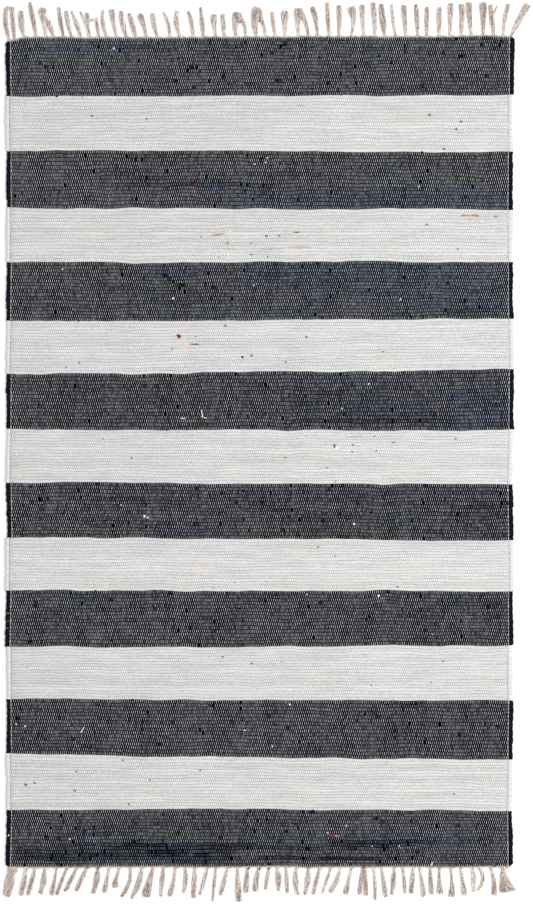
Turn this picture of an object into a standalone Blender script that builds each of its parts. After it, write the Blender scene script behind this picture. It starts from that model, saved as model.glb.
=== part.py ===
"""A hand-woven rag rug lying flat: one thick striped cloth, and a fringe of yarn tassels at each end.

X runs across the rug, Y along its length and Z up. The origin is at the middle of the underside,
which lies on the floor. Each fringe hangs from a narrow band of twined yarn along the cloth's end.
Sizes are in millimetres and are turned into metres where the points are set.
"""

import random
from collections import namedtuple

import bmesh
import bpy
from mathutils import Vector

MM = 0.001

# The cloth
HALF_WIDTH = 449.0        # from the middle of the rug to its selvedge, on average
RIB_TOP = 5.6             # height of a rag's crest above the floor
RIB_GAP = 4.4             # height of the dip between two rags
RIB_UNEVEN = 0.3          # how much one rag's height may differ from that
SELVEDGE_TOP = 6.2        # the rags turn back at the sides in a slightly thicker roll
SELVEDGE_GAP = 5.2
SELVEDGE_MIDDLE = 2.8     # height at which the roll reaches out furthest
SELVEDGE_CREST_IN = 4.0   # from the roll's outer side in to its crest
SELVEDGE_WIDTH = 9.0      # from the roll's outer side in to the flat field
SELVEDGE_FOOT_IN = 1.8    # from the roll's outer side in to where it meets the floor
TURN_OUT = 0.5            # how far a rag's turn stands out past the average edge
TURN_IN = 0.6             # how far the edge dips between two turns
CORNER_DROP = 5.0         # the far left corner is drawn back by this much
CORNER_PICKS = 4          # and comes back into line over this many rags

# The fringes
PARTING = 0.3             # gap between the cloth's end and the twined band
BAND_WIDTH = 3.4
BAND_HEIGHT = 4.0
BAND_END_IN = 2.0         # the band stops this far inside the selvedges
ROOT_WIDTH = 4.2          # a tassel is drawn in where it leaves the band
ROOT_SHARE = 0.85         # or to this share of its width, if it is a thin one
STRAND_BASE = 2.0         # a strand is this high, and higher by a share of its width
STRAND_RISE = 0.3
STRAND_MOST = 4.4         # but no higher than this
CROWN_SHARE = 0.55        # width of a strand's rounded top beside its width on the floor
TIP_HEIGHT = 2.2

DARK = (0.062, 0.062, 0.072)
LIGHT = (0.66, 0.65, 0.64)
YARN = (0.60, 0.51, 0.45)
ROUGHNESS = 0.95

# A row for each stripe, from the far end to the near end. The first columns are the rag, the number
# of rags woven in, and how far the stripe's far border lies from the rug's middle at the left side,
# in the middle and at the right side. The last four say how far each selvedge stands out past
# HALF_WIDTH where the stripe starts and where it ends.
Stripe = namedtuple(
    "Stripe", "rag picks far_left far_mid far_right left_start left_end right_start right_end"
)
STRIPES = [
    Stripe("dark", 17, 733.1, 734.6, 735.7, 0.7, -0.4, 2.0, 1.8),
    Stripe("light", 17, 630.0, 631.2, 632.7, 2.2, 1.6, -0.5, 0.7),
    Stripe("dark", 16, 532.9, 533.6, 531.2, -0.4, -0.7, 0.3, -0.7),
    Stripe("light", 16, 431.5, 431.6, 429.6, 0.2, 0.6, -1.7, -1.7),
    Stripe("dark", 17, 336.7, 336.3, 337.6, -1.0, 0.5, 0.1, 0.6),
    Stripe("light", 17, 232.3, 233.6, 235.8, -0.3, 1.3, 0.7, 2.4),
    Stripe("dark", 16, 137.7, 141.0, 145.5, -0.6, -0.1, 1.8, 1.1),
    Stripe("light", 18, 40.3, 38.9, 38.8, -0.3, 1.1, 0.2, -1.0),
    Stripe("dark", 16, -54.7, -56.3, -56.2, -0.6, -2.0, -0.4, 0.4),
    Stripe("light", 17, -152.2, -154.8, -155.9, 2.1, 2.6, 1.1, 2.1),
    Stripe("dark", 16, -246.2, -247.2, -245.9, -0.1, 1.2, 0.7, 0.4),
    Stripe("light", 18, -344.8, -344.9, -343.0, -1.0, -0.9, -2.4, -0.8),
    Stripe("dark", 16, -437.1, -439.9, -440.9, 0.0, -1.3, 0.6, -0.8),
    Stripe("light", 17, -536.0, -541.0, -544.3, -0.1, 0.3, -0.9, -2.1),
    Stripe("dark", 17, -633.2, -632.4, -635.0, -1.6, 0.6, -1.0, -0.3),
]
NEAR_END = (-735.0, -734.6, -734.6)     # the cloth's last border, at the left, the middle and the right

# A row for each tassel, from the left. The columns are where it leaves the band, how far its tip
# lies to the right of there, how far it reaches out from the cloth, how far its middle bends to the
# right, and its width at the middle and at the tip. Where two tips lean together the yarn is an
# uncut loop, and where two or three tassels leave the band side by side one knot holds them.
Tassel = namedtuple("Tassel", "root lean reach bow wide tip")
FAR_TASSELS = [
    Tassel(-444, 2, 57, -6, 7, 5), Tassel(-434, -3, 54, -1, 6, 4), Tassel(-417, -5, 50, -2, 9, 8),
    Tassel(-396, -11, 62, 1, 7, 6), Tassel(-378, -6, 54, 0, 6, 14), Tassel(-365, -9, 33, 0, 6, 4),
    Tassel(-347, -9, 53, -1, 6, 5), Tassel(-333, -10, 48, -1, 6, 5), Tassel(-317, -16, 47, 1, 7, 3),
    Tassel(-304, -13, 46, 0, 4, 4), Tassel(-299.4, -3, 45, 0, 5, 6), Tassel(-295, 3, 27, 0, 3, 2),
    Tassel(-285, -4, 34, 0, 4, 3), Tassel(-271, -6, 49, -3, 6, 4), Tassel(-253, -9, 51, -1, 6, 9),
    Tassel(-236, -10, 48, -1, 8, 7), Tassel(-219, -12, 44, 0, 8, 6), Tassel(-201, -12, 43, 2, 6, 10),
    Tassel(-180, -9, 44, -2, 7, 8), Tassel(-159, -11, 46, 3, 5, 4), Tassel(-141, -5, 48, -3, 8, 6),
    Tassel(-117, -8, 47, 1, 7, 6), Tassel(-99, -5, 54, 0, 8, 3), Tassel(-77, -4, 41, -1, 6, 11),
    Tassel(-62, -3, 42, 0, 7, 7), Tassel(-42, 1, 44, -2, 5, 6), Tassel(-27, -8, 43, 5, 6, 5),
    Tassel(-7, -2, 50, -1, 8, 7), Tassel(10, -9, 52, 1, 5, 7), Tassel(28, -6, 47, 0, 6, 6),
    Tassel(46, -1, 48, 0, 8, 14), Tassel(67, -2, 47, 0, 6, 8), Tassel(85, -10, 53, 3, 7, 8),
    Tassel(103, -9, 53, 2, 6, 10), Tassel(124, -4, 61, 0, 7, 6), Tassel(141, 0, 57, 1, 7, 8),
    Tassel(163, -1, 54, 4, 5, 14), Tassel(185, -3, 57, 0, 6, 9), Tassel(205, -4, 62, 1, 7, 9),
    Tassel(222, -6, 59, 0, 10, 8), Tassel(242, -8, 58, -1, 5, 4), Tassel(260, -4, 57, 0, 7, 10),
    Tassel(281, -3, 58, 0, 7, 7), Tassel(297, 0, 54, 0, 7, 6), Tassel(319, 0, 53, 0, 8, 9),
    Tassel(338, 1, 60, 0, 7, 9), Tassel(357, 1, 58, 2, 8, 8), Tassel(376, -4, 61, -1, 7, 11),
    Tassel(397, 0, 60, 0, 8, 13), Tassel(415, -4, 56, 1, 8, 6), Tassel(421, 0, 56, 1, 3, 2),
    Tassel(433, 6, 59, -1, 6, 9), Tassel(445, 29, 58, -1, 9, 12),
]
NEAR_TASSELS = [
    Tassel(-441, -12, 53, 0, 8, 6), Tassel(-432, -10, 51, 0, 8, 5), Tassel(-414, -9, 51, 1, 8, 8),
    Tassel(-398, -13, 50, 1, 7, 6), Tassel(-380, -9, 48, 2, 9, 6), Tassel(-359, -10, 51, 0, 4, 8),
    Tassel(-341, -18, 50, -1, 5, 4), Tassel(-324, -20, 44, 0, 6, 6), Tassel(-306, -19, 43, 0, 7, 6),
    Tassel(-286, -9, 48, 2, 10, 6), Tassel(-266, -9, 47, 0, 5, 8), Tassel(-248, -8, 38, -1, 5, 10),
    Tassel(-229, -16, 54, 6, 5, 6), Tassel(-208, -18, 57, 3, 9, 7), Tassel(-188, -14, 55, 0, 9, 15),
    Tassel(-170, -5, 54, 0, 8, 4), Tassel(-149, -11, 53, 2, 5, 8), Tassel(-132, -3, 47, 3, 7, 5),
    Tassel(-114, -3, 56, 0, 8, 7), Tassel(-92, -13, 50, 0, 6, 5), Tassel(-77, -6, 61, 0, 5, 3),
    Tassel(-56, -13, 51, 0, 7, 7), Tassel(-39, 3, 62, 0, 8, 11), Tassel(-21, -3, 47, 0, 8, 8),
    Tassel(-1, -6, 45, -1, 8, 9), Tassel(17, -6, 41, 0, 6, 5), Tassel(32, 2, 44, 1, 10, 6),
    Tassel(47, 2, 48, 1, 6, 5), Tassel(66, 3, 51, -3, 9, 7), Tassel(87, -7, 49, 2, 9, 5),
    Tassel(107, -12, 49, 0, 7, 5), Tassel(126, -15, 47, 1, 5, 3), Tassel(143, -18, 46, 3, 8, 8),
    Tassel(163, -11, 50, 1, 5, 10), Tassel(183, -6, 50, 0, 6, 6), Tassel(188, 1, 52, 0, 6, 7),
    Tassel(202, 3, 59, 2, 5, 5), Tassel(217, 7, 54, 0, 6, 8), Tassel(239, -4, 51, 1, 9, 5),
    Tassel(254, 4, 49, 1, 5, 5), Tassel(273, -4, 48, 0, 7, 7), Tassel(284, 7, 54, 1, 6, 8),
    Tassel(303, 2, 49, 0, 7, 8), Tassel(319, 1, 48, 0, 5, 11), Tassel(339, 1, 54, 2, 4, 10),
    Tassel(357, 7, 51, 0, 6, 9), Tassel(377, 2, 45, 2, 8, 5), Tassel(390, -3, 43, 8, 6, 4),
    Tassel(410, 6, 52, 3, 6, 10), Tassel(432, -1, 48, 0, 7, 8), Tassel(437.5, 4, 47, 0, 5, 6),
    Tassel(442, 13, 45, -3, 4, 4),
]

# The rings along a strand: how far along it each lies, how much of the width there is that of the
# strand's middle, the rest being that of its tip, and how full the ring is.
Ring = namedtuple("Ring", "along middle fullness")
STRAND_RINGS = [Ring(0.25, 1.0, 0.85), Ring(0.5, 1.0, 1.0), Ring(0.86, 0.0, 1.0), Ring(1.0, 0.0, 0.6)]


def between(start, end, share):
    return start + (end - start) * share


def make_material(name, colour):
    material = bpy.data.materials.new(name)
    material.use_nodes = True
    shader = material.node_tree.nodes["Principled BSDF"]
    shader.inputs["Base Color"].default_value = (*colour, 1.0)
    shader.inputs["Roughness"].default_value = ROUGHNESS
    shader.inputs["Metallic"].default_value = 0.0
    return material


def add_object(name, bm, materials):
    """Closes what is still open, turns the faces out and makes the object."""
    bmesh.ops.holes_fill(bm, edges=bm.edges, sides=0)
    bmesh.ops.recalc_face_normals(bm, faces=bm.faces)
    mesh = bpy.data.meshes.new(name)
    bm.to_mesh(mesh)
    bm.free()
    for material in materials:
        mesh.materials.append(material)
    obj = bpy.data.objects.new(name, mesh)
    bpy.context.collection.objects.link(obj)
    return obj


def first_face(bm, points):
    return bm.faces.new([bm.verts.new(Vector(point) * MM) for point in points])


def pull(bm, face, points):
    """Extrudes a face, sets its corners to the points and returns it. Its first place is left open."""
    pulled = bmesh.ops.extrude_discrete_faces(bm, faces=[face])["faces"][0]
    for vert, point in zip(pulled.verts, points):
        vert.co = Vector(point) * MM
    return pulled


def sides_of(cap):
    """The faces around a cap that has just been pulled."""
    return [face for edge in cap.edges for face in edge.link_faces if face is not cap]


def cloth_section(place, left, right, turn, drop, field_height, roll_height):
    """The nine corners of the cloth's section, from the left foot over the top to the right foot."""
    y_left, y_mid, y_right = place
    out_left = -(HALF_WIDTH + left + turn)
    out_right = HALF_WIDTH + right + turn
    y_corner = y_left - drop
    return [
        (out_left + SELVEDGE_FOOT_IN, y_corner, 0.0),
        (out_left, y_corner, SELVEDGE_MIDDLE),
        (out_left + SELVEDGE_CREST_IN, y_corner, roll_height),
        (out_left + SELVEDGE_WIDTH, y_left, field_height),
        (0.0, y_mid, field_height),
        (out_right - SELVEDGE_WIDTH, y_right, field_height),
        (out_right - SELVEDGE_CREST_IN, y_right, roll_height),
        (out_right, y_right, SELVEDGE_MIDDLE),
        (out_right - SELVEDGE_FOOT_IN, y_right, 0.0),
    ]


def cloth_sections():
    """Yields the rag and the section for each dip and crest along the cloth, far end first."""
    uneven = random.Random(4)
    far_borders = [(stripe.far_left, stripe.far_mid, stripe.far_right) for stripe in STRIPES]
    picks_done = 0
    for stripe, start, end in zip(STRIPES, far_borders, far_borders[1:] + [NEAR_END]):
        for half_pick in range(2 * stripe.picks):
            share = half_pick / (2 * stripe.picks)
            place = [between(a, b, share) for a, b in zip(start, end)]
            left = between(stripe.left_start, stripe.left_end, share)
            right = between(stripe.right_start, stripe.right_end, share)
            drop = CORNER_DROP * max(0.0, 1 - (picks_done + half_pick / 2) / CORNER_PICKS)
            if half_pick % 2 == 0:
                section = cloth_section(place, left, right, -TURN_IN, drop, RIB_GAP, SELVEDGE_GAP)
            else:
                lift = uneven.uniform(-RIB_UNEVEN, RIB_UNEVEN)
                section = cloth_section(
                    place, left, right, TURN_OUT, drop, RIB_TOP + lift, SELVEDGE_TOP + lift
                )
            yield stripe.rag, section
        picks_done += stripe.picks
    last = STRIPES[-1]
    yield last.rag, cloth_section(
        NEAR_END, last.left_end, last.right_end, -TURN_IN, 0.0, RIB_GAP, SELVEDGE_GAP
    )


def make_cloth(sections, dark, light):
    """One solid with a flat underside, and on top a rib for every rag."""
    bm = bmesh.new()
    cap = first_face(bm, sections[0][1])
    for (rag, _), (_, section) in zip(sections, sections[1:]):
        cap = pull(bm, cap, section)
        for face in sides_of(cap):
            face.material_index = 0 if rag == "dark" else 1
    return add_object("rag_cloth", bm, [dark, light])


def end_line(section):
    """The cloth's end from left to right as (x, y) corners, without the section's two feet."""
    return [(x, y) for x, y, _ in section[1:-1]]


def height_on(line, x):
    """How far along the rug the end line lies at x."""
    for (x0, y0), (x1, y1) in zip(line, line[1:]):
        if x <= x1:
            return between(y0, y1, (x - x0) / (x1 - x0))
    return line[-1][1]


def root_sides(tassel):
    half = min(ROOT_WIDTH, ROOT_SHARE * tassel.wide) / 2
    return tassel.root - half, tassel.root + half


def grow_tassel(bm, root_face, tassel, band_y, outward):
    """Pulls a tassel out of its root face ring by ring, level along the floor."""
    length = tassel.reach - PARTING - BAND_WIDTH
    face = root_face
    for ring in STRAND_RINGS:
        centre = Vector((
            tassel.root + tassel.lean * ring.along + tassel.bow * 4 * ring.along * (1 - ring.along),
            band_y + outward * length * ring.along,
            0.0,
        ))
        slant = tassel.lean + tassel.bow * 4 * (1 - 2 * ring.along)
        across = Vector((length, -outward * slant, 0.0)).normalized()
        width = ring.fullness * between(tassel.tip, tassel.wide, ring.middle)
        height = min(STRAND_MOST, STRAND_BASE + STRAND_RISE * width)
        if ring is STRAND_RINGS[-1]:
            height = TIP_HEIGHT
        crown = Vector((0.0, 0.0, height))
        middle = face.calc_center_median()
        corners = []
        for vert in face.verts:
            to_side = across * (width / 2 if vert.co.x > middle.x else -width / 2)
            if vert.co.z > middle.z:
                corners.append(centre + to_side * CROWN_SHARE + crown)
            else:
                corners.append(centre + to_side)
        face = pull(bm, face, corners)


def band_section(line, x, outward):
    y_inner = height_on(line, x) + outward * PARTING
    y_outer = y_inner + outward * BAND_WIDTH
    return [
        (x, y_inner, 0.0),
        (x, y_inner, BAND_HEIGHT),
        (x, y_outer, BAND_HEIGHT),
        (x, y_outer, 0.0),
    ]


def make_fringe(name, tassels, line, outward, yarn):
    """A twined band along one end of the cloth, with its tassels grown out of the band's outer side."""
    starts = {root_sides(tassel)[0]: tassel for tassel in tassels}
    stops = [x for tassel in tassels for x in root_sides(tassel)]
    # The band also turns at each corner of the cloth's end that no root covers.
    for corner_x, _ in line[1:-1]:
        if not any(low <= corner_x <= high for low, high in map(root_sides, tassels)):
            stops.append(corner_x)
    left_end = line[0][0] + BAND_END_IN
    right_end = line[-1][0] - BAND_END_IN
    stops = [left_end] + sorted(x for x in stops if left_end < x < right_end) + [right_end]

    bm = bmesh.new()
    cap = first_face(bm, band_section(line, left_end, outward))
    root_faces = {}
    for x_before, x in zip(stops, stops[1:]):
        cap = pull(bm, cap, band_section(line, x, outward))
        if x_before in starts:
            outer = max(sides_of(cap), key=lambda face: outward * face.calc_center_median().y)
            root_faces[starts[x_before]] = outer
    for tassel, root_face in root_faces.items():
        band_y = height_on(line, tassel.root) + outward * (PARTING + BAND_WIDTH)
        grow_tassel(bm, root_face, tassel, band_y, outward)
    return add_object(name, bm, [yarn])


def main():
    for obj in list(bpy.data.objects):
        bpy.data.objects.remove(obj, do_unlink=True)
    sections = list(cloth_sections())
    make_cloth(sections, make_material("dark_rag", DARK), make_material("light_rag", LIGHT))
    far_line = end_line(sections[0][1])
    near_line = end_line(sections[-1][1])
    make_fringe("far_fringe", FAR_TASSELS, far_line, 1, make_material("far_yarn", YARN))
    make_fringe("near_fringe", NEAR_TASSELS, near_line, -1, make_material("near_yarn", YARN))


main()
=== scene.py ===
import math
import random
from collections import namedtuple

import bmesh
import bpy
import numpy as np
from mathutils import Matrix, Vector, noise


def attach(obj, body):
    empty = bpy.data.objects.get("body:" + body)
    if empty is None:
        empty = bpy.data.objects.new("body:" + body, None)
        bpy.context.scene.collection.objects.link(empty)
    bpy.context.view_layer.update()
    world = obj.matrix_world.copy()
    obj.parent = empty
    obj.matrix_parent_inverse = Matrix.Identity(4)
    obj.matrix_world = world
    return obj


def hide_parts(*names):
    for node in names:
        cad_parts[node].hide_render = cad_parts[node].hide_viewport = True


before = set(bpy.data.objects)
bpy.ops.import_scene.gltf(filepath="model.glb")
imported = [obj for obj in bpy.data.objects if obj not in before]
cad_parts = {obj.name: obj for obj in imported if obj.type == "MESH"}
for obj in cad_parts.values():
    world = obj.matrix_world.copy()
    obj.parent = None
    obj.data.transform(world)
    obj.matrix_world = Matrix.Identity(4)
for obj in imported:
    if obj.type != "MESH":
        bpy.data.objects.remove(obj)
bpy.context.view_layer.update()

mm = 0.001
bakeMargin = 0.06  # what is left free at the sides of each small part of a bake map

# The rug's layout in mm, shared by the cloth, its yarns and its fringes. One row per stripe from the
# far end: its rag, how many rags, where its far border lies from the middle of the rug at each of
# bordersAt, and how much each selvedge bulges where the stripe starts and ends.
Stripe = namedtuple("Stripe", "rag rags farBorder left right")
bordersAt = (-400, -230, -80, 80, 230, 400)
stripes = [
    Stripe("dark", 17, (733.6, 733.6, 733.8, 735.3, 735.0, 736.2), (0.7, -0.4), (2.6, 2.4)),
    Stripe("light", 17, (629.8, 630.4, 630.9, 631.2, 632.0, 632.9), (2.2, 1.6), (0.1, 1.3)),
    Stripe("dark", 16, (532.7, 534.0, 534.6, 533.1, 531.9, 531.4), (-0.4, -0.7), (0.9, -0.1)),
    Stripe("light", 16, (432.0, 431.9, 432.0, 430.8, 430.9, 429.9), (0.2, 0.6), (0.1, 0.1)),
    Stripe("dark", 17, (337.4, 335.1, 336.3, 337.4, 336.8, 336.9), (-1.0, 0.5), (0.7, 1.2)),
    Stripe("light", 17, (232.9, 231.2, 233.3, 234.6, 235.7, 235.6), (-0.3, 1.3), (1.3, 3.0)),
    Stripe("dark", 16, (138.1, 137.7, 141.0, 141.7, 142.6, 146.1), (-0.6, -0.1), (2.4, 1.7)),
    Stripe("light", 18, (40.5, 39.1, 39.4, 38.2, 37.9, 38.7), (-0.3, 1.1), (0.8, -0.4)),
    Stripe("dark", 16, (-54.8, -54.8, -56.0, -56.6, -58.0, -56.9), (-0.6, -2.0), (0.2, 1.0)),
    Stripe("light", 17, (-152.1, -152.8, -154.1, -155.1, -155.9, -156.3), (2.1, 2.6), (1.7, 2.7)),
    Stripe("dark", 16, (-246.0, -244.8, -246.6, -246.9, -245.6, -246.7), (-0.1, 1.2), (1.3, 1.0)),
    Stripe("light", 18, (-345.2, -345.3, -345.5, -343.7, -343.0, -343.1), (-1.0, -0.9), (-1.8, -0.2)),
    Stripe("dark", 16, (-437.2, -438.2, -440.1, -439.6, -440.2, -440.5), (0.0, -1.3), (1.2, -0.2)),
    Stripe("light", 17, (-534.8, -538.7, -539.6, -542.2, -543.3, -545.2), (-0.1, 0.3), (-0.3, -1.5)),
    Stripe("dark", 17, (-633.1, -633.3, -632.6, -633.7, -634.6, -635.6), (-1.6, 0.6), (-0.4, 0.3)),
]
nearEnd = (-735.2, -734.2, -734.7, -734.6, -734.4, -734.8)

stripeStarts = [0]
for stripe in stripes:
    stripeStarts.append(stripeStarts[-1] + stripe.rags)
ragCount = stripeStarts[-1]
borders = [stripe.farBorder for stripe in stripes] + [nearEnd]

layout = {
    "halfWidth": 449.0,
    "fieldFrom": 9.4,  # from the selvedge's outer side in to the flat field
    "cornerDrop": 6.0,  # the far left corner is drawn in
    "cornerFrom": -412.0,
    "cornerTo": -438.0,
    "cornerRags": 5.0,
    "wave": 1.6,  # how far the rags wander from straight
    "endWave": 0.5,  # the share of it that is left at the two ends
    "bulgeIn": 0.3,  # how many rags in from a stripe's two borders its bulges are charted
    "turnDepth": 0.9,  # how far a turn of the rag, one for two rags, stands out of its crease
    "turnMiddle": 0.8,
    "turnUneven": 0.9,
    "sideWave": 1.0,  # a slower waviness of the selvedges
    "warpPitch": 1.815,
    "warpSway": 0.55,
    "ragTop": 5.55,
    "ragDip": 4.2,
    "lumps": 0.5,  # how much a rag's height wanders along its length
}


# Smooth random numbers from -1 to 1 over the plane, about one feature to each unit, so that x / 44
# wanders about every 44 mm. The seed picks the pattern.
def softNoise(x, y, seed):
    lattice = np.random.default_rng(seed).uniform(-1, 1, (256, 256))
    x, y = np.broadcast_arrays(x, y)
    column = np.floor(x).astype(int)
    row = np.floor(y).astype(int)
    u = x - column
    v = y - row
    u = u * u * (3 - 2 * u)
    v = v * v * (3 - 2 * v)
    corners = [lattice[(column + right) % 256, (row + up) % 256] for up in (0, 1) for right in (0, 1)]
    return (corners[0] * (1 - u) + corners[1] * u) * (1 - v) + (corners[2] * (1 - u) + corners[3] * u) * v


def stripeAt(rag):
    return np.clip(np.searchsorted(stripeStarts, rag, side="right") - 1, 0, len(stripes) - 1)


def isLight(rag):
    return np.array([stripe.rag == "light" for stripe in stripes])[stripeAt(rag)]


def cornerDrop(x, rag):
    across = np.clip((layout["cornerFrom"] - x) / (layout["cornerFrom"] - layout["cornerTo"]), 0, 1)
    along = np.clip(1 - rag / layout["cornerRags"], 0, 1)
    return layout["cornerDrop"] * across * across * (3 - 2 * across) * along


# how far along the rug a spot lies: x in mm across, rag counted from the far end
def alongAt(x, rag):
    x, rag = np.broadcast_arrays(np.asarray(x, float), np.asarray(rag, float))
    lines = np.array([np.interp(x.ravel(), bordersAt, border) for border in borders])
    ragHere = rag.ravel()
    stripeHere = stripeAt(ragHere)
    starts = np.array(stripeStarts)
    share = (ragHere - starts[stripeHere]) / np.diff(starts)[stripeHere]
    spot = np.arange(len(ragHere))
    y = (lines[stripeHere, spot] * (1 - share) + lines[stripeHere + 1, spot] * share).reshape(x.shape)
    wave = softNoise(x / 44, rag * 0.2, 1) + 0.5 * softNoise(x / 17, rag * 0.55, 2)
    calm = np.clip(np.minimum(rag, ragCount - rag) / 3, layout["endWave"], 1)
    return y - cornerDrop(x, rag) + layout["wave"] * wave * calm


endSteps = np.arange(-460, 461)
endLines = {"far": alongAt(endSteps, 0), "near": alongAt(endSteps, ragCount)}


# how far along the rug a spot lies that is so far out from the cloth's end
def pastEnd(x, out, end):
    return float(np.interp(x, endSteps, endLines[end])) + (out if end == "far" else -out)


# how far a selvedge stands out past half the width: its charted bulge, what each turn of the rag adds,
# and how full that turn is, from 0 in the crease to 1
def sideBulge(rag, side):
    at = []
    bulge = []
    for start, end, stripe in zip(stripeStarts, stripeStarts[1:], stripes):
        at += [start + layout["bulgeIn"], end - layout["bulgeIn"]]
        bulge += list(getattr(stripe, side))
    turn = (rag + (0 if side == "left" else 1)) / 2
    lobe = np.abs(np.sin(np.pi * turn)) ** 0.5
    row = 4 if side == "left" else 8
    fat = layout["turnUneven"] * softNoise(np.floor(turn) * 0.83, row, 4)
    slow = layout["sideWave"] * softNoise(rag / 5.5, row + 0.5, 11)
    return np.interp(rag, at, bulge), layout["turnDepth"] * (lobe - layout["turnMiddle"]) + fat + slow, lobe


# where a spot lies across the rug once the selvedges bulge
def acrossAt(x, rag):
    half = layout["halfWidth"]
    inSelvedge = np.clip((np.abs(x) - half + layout["fieldFrom"]) / layout["fieldFrom"], 0, 1)
    shift = 0
    for side, sign in (("left", -1), ("right", 1)):
        bulge, turn, _ = sideBulge(rag, side)
        shift = shift + sign * (np.sign(x) == sign) * (bulge * np.abs(x) / half + turn * inSelvedge)
    return x + shift


def lumpAt(x, rag):
    return layout["lumps"] * softNoise(x / 17, np.floor(rag) * 1.7, 5)


def warpSway(x, rag):
    return layout["warpSway"] * (softNoise(x / 55, rag / 16, 7) + 0.6 * softNoise(x / 21, rag / 6, 8))


# Where the dark rags turn navy, from 0 to 1, or brown, below 0: across the rug from and to, and rags
# from and to, counted from the far end.
Dyed = namedtuple("Dyed", "start end first last tint")
dyedPatches = [
    Dyed(-442, -254, 2.5, 4.9, 0.8), Dyed(-331, -39, 1.9, 3.5, 0.8), Dyed(-39, 244, 2.4, 3.5, 0.5),
    Dyed(-288, -150, 3.6, 5.3, 0.5), Dyed(98, 441, 1.0, 2.4, 0.45), Dyed(141, 441, 3.8, 5.2, 0.45),
    Dyed(-159, 175, 8.2, 9.8, 0.4), Dyed(-262, -73, 5.5, 8, -0.5), Dyed(-265, -220, 0.3, 2, 0.6),
    Dyed(-52, -34, 0.3, 2, 0.6), Dyed(249, 285, 3.5, 5.3, 0.7), Dyed(-60, 30, 9, 11, -0.5),
    Dyed(-430, 120, 34.2, 40, -0.3), Dyed(-73, 441, 44.2, 50, 0.6), Dyed(150, 441, 44.2, 50, 0.8),
    Dyed(-279, -73, 45.2, 46.4, 0.6), Dyed(-125, -13, 43.1, 44.8, 0.6), Dyed(-399, -331, 41.5, 42.3, 0.4),
    Dyed(-440, -230, 66, 83, -0.3), Dyed(-39, 441, 66.2, 76.7, 0.6), Dyed(250, 441, 66.2, 81.6, 0.8),
    Dyed(-219, 441, 79.2, 81.2, 0.6), Dyed(-271, -39, 75.3, 76.6, 0.5), Dyed(-442, -168, 73.2, 74.5, 0.5),
    Dyed(-421, -378, 71.8, 73.4, 0.8), Dyed(-210, -65, 67.8, 71, 0.5), Dyed(193, 313, 77.4, 78.4, 0.5),
    Dyed(-440, -190, 102.5, 116, -0.3), Dyed(-168, 441, 100.6, 101.6, 0.6),
    Dyed(98, 441, 101.6, 102.8, 0.6), Dyed(-176, 141, 104.6, 105.7, 0.5), Dyed(313, 441, 105.2, 116, 0.8),
    Dyed(141, 313, 105.6, 112.3, 0.7), Dyed(21, 141, 106, 112, 0.4), Dyed(-395, -206, 109.8, 110.9, 0.5),
    Dyed(-22, 98, 111, 112.2, 0.5), Dyed(47, 227, 113.6, 114.7, 0.6), Dyed(-440, -180, 135.6, 150, -0.4),
    Dyed(-417, -193, 134.3, 135.4, 0.35), Dyed(-202, 21, 137.9, 139.3, 0.5),
    Dyed(-30, 420, 135.6, 137.1, 0.5), Dyed(313, 420, 135.6, 137.1, 0.7), Dyed(73, 364, 141.9, 143.6, 0.35),
    Dyed(-125, 55, 145, 146.2, 0.6), Dyed(73, 124, 144.6, 146, 0.5), Dyed(-357, -271, 167.6, 168.6, 0.5),
    Dyed(-168, -125, 167.6, 168.6, 0.5), Dyed(313, 441, 169.4, 171.5, 0.55), Dyed(399, 441, 171, 173.5, 0.8),
    Dyed(38, 313, 170.9, 172.8, 0.4), Dyed(-382, -142, 174.6, 176.8, 0.4), Dyed(-82, -56, 175, 176, 0.4),
    Dyed(-410, -200, 201.5, 217, -0.35), Dyed(167, 441, 206.5, 207.6, 0.4),
    Dyed(210, 441, 215.7, 217, 0.5), Dyed(-442, -395, 234.5, 237.2, 0.7),
    Dyed(-288, 21, 234.8, 236.8, 0.4), Dyed(193, 441, 239.6, 245.3, 0.5),
    Dyed(-331, -73, 243.2, 248.2, 0.85), Dyed(-442, -331, 244.6, 248.2, 0.6),
    Dyed(-73, 167, 244.2, 245.3, 0.7), Dyed(47, 261, 247.4, 248.4, 0.7),
    Dyed(-442, -408, 241.4, 242.8, -0.9), Dyed(-168, -5, 242, 243.1, -0.6),
]

tintSet = {
    "alongRag": 0.4,  # how much a rag's own tint wanders, slowly and faster
    "byStretch": 0.3,
    "inPatch": 0.3,  # how uneven a patch is, and how much of the rag's own tint it keeps
    "kept": 0.4,
    "shiftShare": 0.15,  # how far each rag of a patch starts and ends from its place, and the most
    "shiftMost": 30,
    "taper": 12,
    "rowTaper": 0.3,
}

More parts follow.
